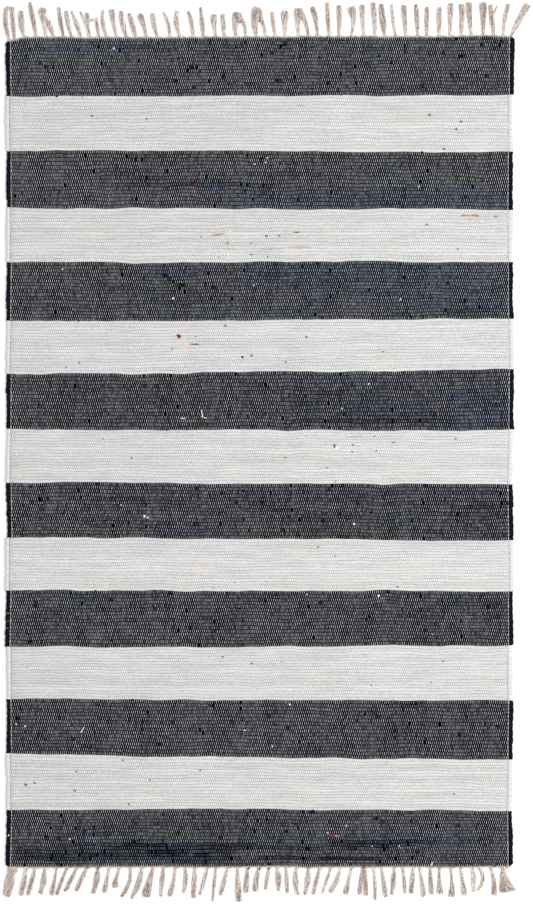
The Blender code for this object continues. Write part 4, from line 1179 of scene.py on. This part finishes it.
nearTassels = [
    Tassel(-438, -10, 53, 0, 17, 14, 17), Tassel(-414, -9, 51, 1, 8, 8),
    Tassel(-398, -13, 50, 1, 7, 6), Tassel(-380, -9, 48, 2, 9, 6), Tassel(-359, -10, 51, 0, 4, 8),
    Tassel(-341, -18, 50, -1, 5, 4), Tassel(-324, -20, 44, 0, 6, 6), Tassel(-306, -19, 43, 0, 7, 6),
    Tassel(-286, -9, 48, 2, 10, 6), Tassel(-266, -9, 47, 0, 5, 8), Tassel(-248, -8, 38, -1, 5, 10),
    Tassel(-229, -16, 54, 6, 5, 6), Tassel(-208, -18, 57, 3, 9, 7), Tassel(-188, -14, 55, 0, 9, 15),
    Tassel(-170, -5, 54, 0, 8, 4), Tassel(-149, -11, 53, 2, 5, 8), Tassel(-132, -3, 47, 3, 7, 5),
    Tassel(-114, -3, 56, 0, 8, 7), Tassel(-92, -13, 50, 0, 6, 5), Tassel(-77, -6, 61, 0, 5, 3),
    Tassel(-56, -13, 51, 0, 7, 7), Tassel(-39, 3, 62, 0, 8, 11), Tassel(-21, -3, 47, 0, 8, 8),
    Tassel(-1, -6, 45, -1, 8, 9), Tassel(17, -6, 41, 0, 6, 5), Tassel(32, 2, 44, 1, 10, 6),
    Tassel(47, 2, 48, 1, 6, 5), Tassel(66, 3, 51, -3, 9, 7), Tassel(87, -7, 49, 2, 9, 5),
    Tassel(107, -12, 49, 0, 7, 5), Tassel(126, -15, 47, 1, 5, 3), Tassel(143, -18, 46, 3, 8, 8),
    Tassel(163, -11, 50, 1, 5, 10), Tassel(183, -6, 50, 0, 6, 6), Tassel(188, 1, 52, 0, 6, 7),
    Tassel(202, 3, 59, 2, 5, 5), Tassel(217, 7, 54, 0, 6, 8), Tassel(239, -4, 51, 1, 9, 5),
    Tassel(254, 4, 49, 1, 5, 5), Tassel(273, -4, 48, 0, 7, 7), Tassel(284, 7, 54, 1, 6, 8),
    Tassel(303, 2, 49, 0, 7, 8), Tassel(319, 1, 48, 0, 5, 11), Tassel(339, 1, 54, 2, 4, 10),
    Tassel(357, 7, 51, 0, 6, 9), Tassel(377, 2, 45, 2, 8, 5), Tassel(390, -3, 43, 8, 6, 4),
    Tassel(410, 6, 52, 3, 6, 10), Tassel(432, 1, 47, 0, 11, 14, 6), Tassel(433, 11, 46, -1, 9, 11),
    Tassel(434, 19, 43, -4, 6, 6),
]

# Locks of yarn that leave the rows of tassels: their path as across and out from the cloth's end,
# their width and how many yarns they have.
Lock = namedtuple("Lock", "path wide yarns")
farLocks = [
    Lock(((-450.5, 46), (-449.5, 55), (-444.5, 59.5), (-439.5, 56), (-438.5, 47)), 6, 8),
    Lock(((-369, 14), (-374.5, 26), (-380, 37), (-385, 50)), 6, 7),
    Lock(((-309, 29), (-303, 31.5), (-295, 33), (-288.5, 31)), 5, 6),
    Lock(((413.5, 22), (414.5, 32), (416.5, 42), (422, 55)), 2.5, 3),
    Lock(((-33, 26), (-34, 35), (-36, 43)), 8, 9),
    Lock(((3, 27), (1, 38), (-1, 49)), 10, 11),
    Lock(((75.5, 29), (74, 38), (72, 48)), 9, 10),
]
nearLocks = [
    Lock(((-430, 3.6), (-441, 24), (-453, 49)), 6, 7),
    Lock(((420, 1.2), (430, 2.6), (441, 1.8)), 4, 5),
]

fringe = {
    "strand": 0.66,  # radius of one yarn
    "strandUneven": 0.16,
    "yarnsPerMm": 1.3,
    "yarnsLeast": 6,
    "yarnsMost": 24,
    "core": 1.75,  # how many times thicker the yarns inside a tassel are
    "coreEvery": 5,  # one of them for so many mm of its width
    "coreLower": 0.2,
    "turns": (0.2, 0.8),  # how far the outer yarns wind round the tassel
    "fuller": 1.0,  # what a tassel has beyond its charted widths
    # the yarns inside are dark as painted shade deep in the tassel
    "coreShadeTones": (0.8, 1.0),  # from pale 0 to dark 1
    "toneSpread": (2.0, 2.2),
    "toneUneven": 0.12,
    "darker": {"far": 0.0, "near": 0.02},
    "rootOut": 3.6,  # where a tassel's root lies past the cloth's end
    "rootWidth": 3.9,
    "rootShare": 0.9,
    # how a yarn comes over from where it was woven to the tassel: how much of the way is left, and how
    # far out from the cloth's end
    "gather": [(1.0, -1.6), (0.9, 0.5), (0.45, 1.9)],
    "leaveHeight": 2.7,
    "bundleHeight": 2.3,
    "bundleRise": 0.24,
    "bundleMost": 4.6,
    "sideIn": 8,
    "pathSteps": 13,
    "lockSteps": 5,
    "wander": 0.3,
    "capLength": 0.45,  # how far a yarn's end tapers, and how thick it is where that starts
    "capThick": 0.88,
    "tipFrom": 0.75,  # from where on the tip frays and flattens
    "tipFray": 1.0,
    "tipFlatter": 0.4,
    "endsFrom": 0.8,  # from where on the yarns' lengths differ, and over what share of the tassel
    "endsOver": 0.2,
    "tipUneven": 3.6,
    "tipBeyond": 0.8,
    "coreShorter": 1.5,
    "tipRound": 0.2,
    "bakeStrips": 64,
}

fuzz = {
    "count": 7,
    "along": (0.15, 0.98),
    "toTip": 0.6,  # below 1, more of them grow near the tip
    "radius": 0.2,
    "length": 6.0,
    "lengthUneven": (0.5, 1.1),
    "outwards": (0.1, 0.5),
    "heights": (0.8, 2.6),
    "drop": 0.15,
    "lowest": 0.3,
    "tones": (0.0, 0.6),
    "steps": 4,
}

# how wide a tassel is along its length: where, how much of its middle's width, how much of its tip's
widthSteps = [(0.2, 0.78, 0.0), (0.45, 1.0, 0.0), (0.86, 0.0, 1.0), (1.0, 0.0, 0.85)]


def rootWidth(tassel):
    return tassel.rootWide or min(fringe["rootWidth"], fringe["rootShare"] * tassel.wide)


def widthAlong(tassel, share):
    at = [0.0]
    width = [rootWidth(tassel)]
    for where, ofMiddle, ofTip in widthSteps:
        at.append(where)
        width.append(ofMiddle * tassel.wide + ofTip * tassel.tip + fringe["fuller"])
    return float(np.interp(share, at, width))


def tasselLine(tassel, share):
    x = tassel.root + tassel.lean * share + tassel.bow * 4 * share * (1 - share)
    out = fringe["rootOut"] + (tassel.reach - fringe["rootOut"]) * share
    return Vector((x, out, 0.0))


# a smooth curve through the points, with evenly many steps between each two
def smoothLine(points, steps):
    ends = [points[0]] + list(points) + [points[-1]]
    line = []
    for before, start, end, after in zip(ends, ends[1:], ends[2:], ends[3:]):
        for step in range(steps):
            t = step / steps
            line.append(
                0.5 * (2 * start + (end - before) * t + (2 * before - 5 * start + 4 * end - after) * t * t
                + (3 * start - before - 3 * end + after) * t ** 3)
            )
    return line + [points[-1]]


# a curve that gathers yarns, with a tone from pale 0 to dark 1 for each
def newYarns(name, radius):
    curve = bpy.data.curves.new(name, "CURVE")
    curve.dimensions = "3D"
    curve.bevel_depth = radius * mm
    curve.bevel_resolution = 1
    return curve, []


def addYarn(yarns, points, thick, tone):
    curve, tones = yarns
    cap = (points[-1] - points[-2]).normalized() * fringe["capLength"]
    points = points + [points[-1] + cap]
    radii = [0.0] + [thick] * (len(points) - 3) + [fringe["capThick"] * thick, 0.0]
    spline = curve.splines.new("POLY")
    spline.points.add(len(points) - 1)
    for point, place, radius in zip(spline.points, points, radii):
        point.co = (*(place * mm), 1.0)
        point.radius = radius
    tones.append(tone)


def bundleHeight(width):
    return min(fringe["bundleMost"], fringe["bundleHeight"] + fringe["bundleRise"] * width)


# the yarn's first points: out of the cloth where it was woven, and over to the tassel's root
def gatherStart(root, spread, end, height):
    points = []
    for share, out in fringe["gather"]:
        x = root + spread * share
        rise = fringe["leaveHeight"] + (height - fringe["leaveHeight"]) * (1 - share)
        points.append(Vector((x, pastEnd(x, out, end), rise)))
    return points


# One yarn of a bundle: whether it lies inside, its angle round the bundle or its place across the inside,
# its radius, how far it winds, and how its tip ends.
Strand = namedtuple("Strand", "number inside order core radius turns shortBy fray phase")


def sidewaysOf(along):
    return Vector((along.y, -along.x, 0.0))


# where a strand is when the bundle is at place, so wide there, and heads along
def strandSpot(strand, place, along, share, length, width):
    tall = bundleHeight(width)
    room = max(0.0, width / 2 - strand.radius)
    if strand.inside:
        sideways = 2 * strand.core * room
        height = max(strand.radius, tall / 2 - fringe["coreLower"])
    else:
        angle = strand.order + 2 * math.pi * strand.turns * share
        sideways = math.cos(angle) * room
        height = strand.radius + (math.sin(angle) + 1) / 2 * (tall - 2 * strand.radius)
    atTip = max(0.0, share - fringe["tipFrom"]) / (1 - fringe["tipFrom"])
    sideways += strand.fray * atTip
    sideways += fringe["wander"] * noise.noise(Vector((strand.phase, length * 0.12, strand.number)))
    height = max(strand.radius, height * (1 - fringe["tipFlatter"] * atTip))
    spot = place + sidewaysOf(along) * sideways
    if share > fringe["endsFrom"]:
        spot = spot - along * strand.shortBy * (share - fringe["endsFrom"]) / fringe["endsOver"]
    return Vector((spot.x, spot.y, height))


# Lays a bundle of yarns along a line of (across, out) points. A bundle has a ring of outer yarns
# that winds a little about darker ones inside, whose dark tone is painted shade between the yarns.
def addBundle(yarns, rng, line, widths, end, count, room=None):
    turns = rng.choice((-1, 1)) * rng.uniform(*fringe["turns"])
    cores = max(1, round(max(widths) / fringe["coreEvery"]))
    last = len(line) - 1
    aheads = [(line[min(last, at + 1)] - line[max(0, at - 1)]).normalized() for at in range(len(line))]
    lengths = [0.0]
    for before, after in zip(line, line[1:]):
        lengths.append(lengths[-1] + (after - before).length)
    shade = rng.uniform(-fringe["toneUneven"], fringe["toneUneven"]) + fringe["darker"][end]
    for number in range(count + cores):
        inside = number >= count
        order = 2 * math.pi * (number + rng.uniform(-0.25, 0.25)) / count
        thick = fringe["core"] if inside else 1 + rng.uniform(-1, 1) * fringe["strandUneven"]
        core = (number - count - (cores - 1) / 2) / cores
        shortBy = rng.uniform(0, 1) ** 2 * fringe["tipUneven"] - fringe["tipBeyond"]
        shortBy += fringe["coreShorter"] if inside else 0.0
        fromAxis = 2 * core if inside else math.cos(order + 2 * math.pi * turns)
        shortBy += fringe["tipRound"] * widths[-1] * fromAxis ** 4
        fray = rng.uniform(-1, 1) * fringe["tipFray"]
        phase = rng.uniform(0, 10)
        strand = Strand(number, inside, order, core, fringe["strand"] * thick, turns, shortBy, fray, phase)
        points = []
        for step, (place, along) in enumerate(zip(line, aheads)):
            spot = strandSpot(strand, place, along, step / last, lengths[step], widths[step])
            points.append(Vector((spot.x, pastEnd(place.x, spot.y, end), spot.z)))
        if room:
            low, high = room
            spread = low + (high - low) * (0.5 + 0.5 * math.cos(order)) + rng.uniform(-1, 1)
            points = gatherStart(line[0].x, spread, end, points[0].z) + points
        # the yarns inside are painted dark, as the shade deep in the bundle
        if inside:
            tone = rng.uniform(*fringe["coreShadeTones"])
        else:
            tone = min(1.0, max(0.0, rng.betavariate(*fringe["toneSpread"]) + shade))
        addYarn(yarns, points, thick, tone)


# fine hairs that leave the outline of a tassel, most of them near its tip
def addFuzz(yarns, rng, line, widths, end):
    for _ in range(fuzz["count"]):
        at = rng.uniform(*fuzz["along"]) ** fuzz["toTip"] * (len(line) - 1)
        step = min(int(at), len(line) - 2)
        place = line[step].lerp(line[step + 1], at - step)
        along = (line[step + 1] - line[step]).normalized()
        side = sidewaysOf(along) * rng.choice((-1, 1))
        start = place + side * (widths[step] / 2 - fringe["strand"])
        length = fuzz["length"] * rng.uniform(*fuzz["lengthUneven"])
        outwards = side * rng.uniform(*fuzz["outwards"])
        height = rng.uniform(*fuzz["heights"])
        points = []
        for number in range(fuzz["steps"] + 1):
            part = number / fuzz["steps"]
            spot = start + along * length * (part - 0.2) + outwards * length * part * part
            height = max(fuzz["lowest"], height - fuzz["drop"])
            points.append(Vector((spot.x, pastEnd(place.x, spot.y, end), height)))
        addYarn(yarns, points, fuzz["radius"], rng.uniform(*fuzz["tones"]))


def yarnCount(tassel):
    width = max(tassel.wide, (tassel.wide + tassel.tip) / 2) + fringe["fuller"]
    return max(fringe["yarnsLeast"], min(fringe["yarnsMost"], round(fringe["yarnsPerMm"] * width + 1)))


yarnSides = 6  # a yarn's faces round it, at the bevel resolution of newYarns


# makes the curve a closed mesh, with a tone for each yarn and a strip of the bake map for each
def meshFromYarns(name, yarns, material, bakeColumns):
    curve, tones = yarns
    counts = [(len(spline.points) - 1) * yarnSides for spline in curve.splines]
    holder = bpy.data.objects.new(name, curve)
    mesh = bpy.data.meshes.new_from_object(holder)
    bpy.data.objects.remove(holder)
    mesh.name = name
    mesh.uv_layers[0].name = "yarn"
    yarnUv = np.zeros(len(mesh.loops) * 2)
    mesh.uv_layers["yarn"].data.foreach_get("uv", yarnUv)
    yarnUv = yarnUv.reshape(-1, 2)
    strand = np.repeat(np.repeat(np.arange(len(counts)), counts), 4)
    bakeRows = math.ceil(len(counts) / bakeColumns)
    bakeAt = np.column_stack([
        (strand % bakeColumns + bakeMargin + (1 - 2 * bakeMargin) * yarnUv[:, 0]) / bakeColumns,
        (strand // bakeColumns + 0.01 + 0.98 * yarnUv[:, 1]) / bakeRows,
    ])
    mesh.uv_layers.new(name="OFBake").data.foreach_set("uv", bakeAt.ravel())
    mesh.uv_layers["yarn"].active_render = True
    tone = mesh.attributes.new("yarnTone", "FLOAT", "FACE")
    tone.data.foreach_set("value", np.repeat(tones, counts).astype(np.float32))
    bm = bmesh.new()
    bm.from_mesh(mesh)
    bmesh.ops.remove_doubles(bm, verts=bm.verts, dist=0.00001)
    bmesh.ops.recalc_face_normals(bm, faces=bm.faces)
    bm.to_mesh(mesh)
    bm.free()
    mesh.materials.clear()
    mesh.materials.append(material)
    mesh.shade_smooth()
    print(name, "has", len(counts), "yarns and", triangleCount(mesh), "triangles")
    return placed(name, mesh)


def makeFringe(name, tassels, locks, end, seed, material):
    rng = random.Random(seed)
    yarns = newYarns(name, fringe["strand"])
    half = layout["halfWidth"] - fringe["sideIn"]
    bounds = [(before.root + after.root) / 2 for before, after in zip(tassels, tassels[1:])]
    bounds = [min(-half, tassels[0].root)] + bounds + [max(half, tassels[-1].root)]
    shares = [step / (fringe["pathSteps"] - 1) for step in range(fringe["pathSteps"])]
    for tassel, low, high in zip(tassels, bounds, bounds[1:]):
        line = [tasselLine(tassel, share) for share in shares]
        widths = [widthAlong(tassel, share) for share in shares]
        room = (low - tassel.root, high - tassel.root)
        addBundle(yarns, rng, line, widths, end, yarnCount(tassel), room)
        addFuzz(yarns, rng, line, widths, end)
    for lock in locks:
        line = smoothLine([Vector((x, out, 0.0)) for x, out in lock.path], fringe["lockSteps"])
        addBundle(yarns, rng, line, [lock.wide] * len(line), end, lock.yarns)
    return meshFromYarns(name, yarns, material, fringe["bakeStrips"])


twining = {
    "radius": 0.74,
    "swing": 0.62,
    "turn": 6.4,  # length of one turn of the two yarns
    "slip": 1.5,  # how unevenly they turn
    "out": 0.9,
    "wander": 0.6,
    "height": 2.3,
    "step": 1.1,
    "endIn": 3.0,
    "tone": 0.5,
    "bakeStrips": 2,
}


# two yarns twined about each other along the cloth's end
def makeTwining(name, end, material):
    yarns = newYarns(name, twining["radius"])
    half = layout["halfWidth"] - twining["endIn"]
    steps = round(2 * half / twining["step"])
    for phase in (0.0, math.pi):
        points = []
        for step in range(steps + 1):
            x = -half + 2 * half * step / steps
            angle = phase + 2 * math.pi * x / twining["turn"]
            angle += twining["slip"] * noise.noise(Vector((x / 20, 0, 0)))
            out = twining["out"] + twining["wander"] * noise.noise(Vector((x / 12, 3, 0)))
            out += twining["swing"] * math.cos(angle)
            height = twining["height"] + twining["swing"] * math.sin(angle)
            points.append(Vector((x, pastEnd(x, out, end), height)))
        addYarn(yarns, points, 1.0, twining["tone"])
    return meshFromYarns(name, yarns, material, twining["bakeStrips"])


# single threads that lie loose on the cloth: their path in mm from the middle of the rug, how thick
# they are, and their tone
Thread = namedtuple("Thread", "path radius tone")
threads = {
    "paths": [
        Thread(((303, -734), (305.5, -730), (306.5, -726.5)), 1.0, 0.25),
        Thread(((-139, 58), (-137, 60.5), (-134, 58.5), (-131.5, 60)), 0.7, 0.0),
        Thread(((-310.5, -486.5), (-312.5, -491), (-314.5, -494), (-316.5, -497)), 0.75, 0.1),
        Thread(((-103, 76), (-102, 70), (-100.5, 62)), 0.8, 0.1),
        Thread(((-101, 62), (-97, 60.5), (-93, 60)), 0.6, 0.2),
    ],
    "height": 6.5,
    "steps": 3,
    "bakeStrips": 2,
}


def makeThreads(material):
    yarns = newYarns("looseThreads", 1.0)
    for thread in threads["paths"]:
        line = smoothLine([Vector((x, y, threads["height"])) for x, y in thread.path], threads["steps"])
        addYarn(yarns, line, thread.radius, thread.tone)
    return meshFromYarns("looseThreads", yarns, material, threads["bakeStrips"])


# a yarn's colour where it is lit, in the middle and in its shade, how many turns its plies make along it,
# and how many mottles it has
YarnKind = namedtuple("YarnKind", "lit mid shade turns mottles")
yarnKinds = {
    "fringeYarn": YarnKind((0.82, 0.75, 0.70), (0.63, 0.538, 0.485), (0.30, 0.212, 0.17), 26.0, 15.0),
    "twinedYarn": YarnKind((0.60, 0.565, 0.54), (0.60, 0.565, 0.54), (0.20, 0.17, 0.15), 300.0, 160.0),
    "looseYarn": YarnKind((0.78, 0.76, 0.75), (0.82, 0.75, 0.70), (0.30, 0.212, 0.17), 6.0, 3.0),
}

yarnLook = {
    "plies": 2.0,
    "grooveShade": 0.18,
    "grooveDepth": 0.25,
    "roughness": 0.93,
    "sheen": 0.05,
}


# plied cotton yarn; the yarn map runs round the yarn and along it
def makeYarnMaterial(name):
    kind = yarnKinds[name]
    look = yarnLook
    material, tree, shader = newMaterial(name, look["roughness"], look["sheen"])
    around, along, _ = separated(tree, uvMap(tree, "yarn"))
    turn = maths(tree, "MULTIPLY_ADD", along, kind.turns, maths(tree, "MULTIPLY", around, look["plies"]))
    groove = ranged(tree, fromMiddle(tree, turn), 0.30, 0.5)
    tone = attribute(tree, "yarnTone")
    mottleAlong = maths(tree, "MULTIPLY", along, kind.mottles)
    where = combined(tree, maths(tree, "MULTIPLY", tone, 57.0), mottleAlong, around)
    mottle = noisy(tree, where, 1.0, 3.0, 0.6)
    dark = maths(tree, "ADD", tone, ranged(tree, mottle, 0.3, 0.7, -0.5, 0.5, False))
    # painted light and shade in blotches that neighbouring yarns share
    blotchShade = noisy(tree, scaled(tree, objectPlace(tree), 330.0, 330.0, 150.0), 1.0, 2.0, 0.6)
    dark = maths(tree, "ADD", dark, ranged(tree, blotchShade, 0.35, 0.65, -0.4, 0.4, False))
    dark = maths(tree, "MULTIPLY_ADD", groove, look["grooveShade"], dark)
    body = mixed(tree, ranged(tree, dark, 0.0, 0.5, smooth=False), kind.lit, kind.mid)
    body = mixed(tree, ranged(tree, dark, 0.5, 1.05, smooth=False), body, kind.shade)
    plug(tree, shader.inputs["Base Color"], body)
    addBump(tree, shader, maths(tree, "SUBTRACT", mottle, groove), look["grooveDepth"] * mm, 0.5)
    return material


# floor, light and camera

setting = {
    "floorSize": 12.0,
    "floorBelow": 0.2,  # in mm, so that the underside doesn't flicker in it
    "floorColour": (0.94, 0.94, 0.94),
    "skyStrength": 0.86,
    "keyPlace": (1.6, 0.0, 2.9),
    "keySize": 1.8,
    "keyPower": 62.0,
    "frameHeight": 1.6016,  # what the picture's height takes in at the cloth's crests
    "frameMiddle": (0.0126, -0.0001),
    "lens": 135.0,
    "sensor": 36.0,
}


def makeFloor():
    bm = bmesh.new()
    bmesh.ops.create_grid(bm, x_segments=1, y_segments=1, size=setting["floorSize"] / 2)
    mesh = meshFrom(bm, "floor")
    floor = bpy.data.objects.new("floor", mesh)
    floor.location.z = -setting["floorBelow"] * mm
    bpy.context.collection.objects.link(floor)
    material, _, shader = newMaterial("paleFloor", 0.9)
    shader.inputs["Base Color"].default_value = (*setting["floorColour"], 1.0)
    mesh.materials.append(material)


def makeLight():
    world = bpy.data.worlds.new("softDome")
    world.use_nodes = True
    world.node_tree.nodes["Background"].inputs["Color"].default_value = (1.0, 1.0, 1.0, 1.0)
    world.node_tree.nodes["Background"].inputs["Strength"].default_value = setting["skyStrength"]
    bpy.context.scene.world = world
    key = bpy.data.lights.new("softbox", "AREA")
    key.shape = "DISK"
    key.size = setting["keySize"]
    key.energy = setting["keyPower"]
    lamp = bpy.data.objects.new("softbox", key)
    lamp.location = setting["keyPlace"]
    lamp.rotation_euler = (-Vector(setting["keyPlace"])).to_track_quat("-Z", "Y").to_euler()
    bpy.context.collection.objects.link(lamp)


# straight above the rug, as far from its crests as the frame's height asks
def makeCamera():
    camera = bpy.data.cameras.new("above")
    camera.lens = setting["lens"]
    camera.sensor_width = setting["sensor"]
    holder = bpy.data.objects.new("above", camera)
    distance = setting["frameHeight"] * setting["lens"] / setting["sensor"]
    holder.location = (*setting["frameMiddle"], distance + layout["ragTop"] * mm)
    bpy.context.collection.objects.link(holder)
    bpy.context.scene.camera = holder


# build

makeCamera()
makeLight()
makeFloor()
print("camera, light and floor are up")

addStreaks()
weaveGroup = makeWeaveGroup()
ragMaterials = [
    makeDarkRag("darkRag", weaveGroup, False),
    makeLightRag(weaveGroup),
    makeSelvedge("darkSelvedge"),
    makeSelvedge("lightSelvedge"),
    makeDarkRag("darkRagUnder", weaveGroup, True),
]
clothPiece = makeCloth(ragMaterials)
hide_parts("rag_cloth")
print("cloth has", triangleCount(clothPiece.data), "triangles")

unitFloat = makeUnitFloat()
warpYarn = makeFloatMaterial("warpOverRag", floatLook["dull"], floatLook["bright"])
edgeYarn = makeFloatMaterial("edgeWarp", floatLook["edgeDull"], floatLook["edgeBright"])
floatPieces = [
    makeFloats("farFloats", unitFloat, (0, 2, 4, 6), 51, warpYarn),
    makeFloats("nearFloats", unitFloat, (8, 10, 12, 14), 52, warpYarn),
    makeEdgeWarps(unitFloat, edgeYarn),
]
bpy.data.objects.remove(unitFloat)
slubPiece = makeSlubs(makeSlubMaterial())
print("the weave is done")

fringeYarn = makeYarnMaterial("fringeYarn")
twinedYarn = makeYarnMaterial("twinedYarn")
fringePieces = [
    makeFringe("farFringe", farTassels, farLocks, "far", 11, fringeYarn),
    makeFringe("nearFringe", nearTassels, nearLocks, "near", 12, fringeYarn),
]
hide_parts("far_fringe")
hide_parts("near_fringe")
twiningPieces = [
    makeTwining("farTwining", "far", twinedYarn),
    makeTwining("nearTwining", "near", twinedYarn),
]
threadPiece = makeThreads(makeYarnMaterial("looseYarn"))
print("fringes are done")

bpy.context.scene.view_settings.view_transform = "Standard"
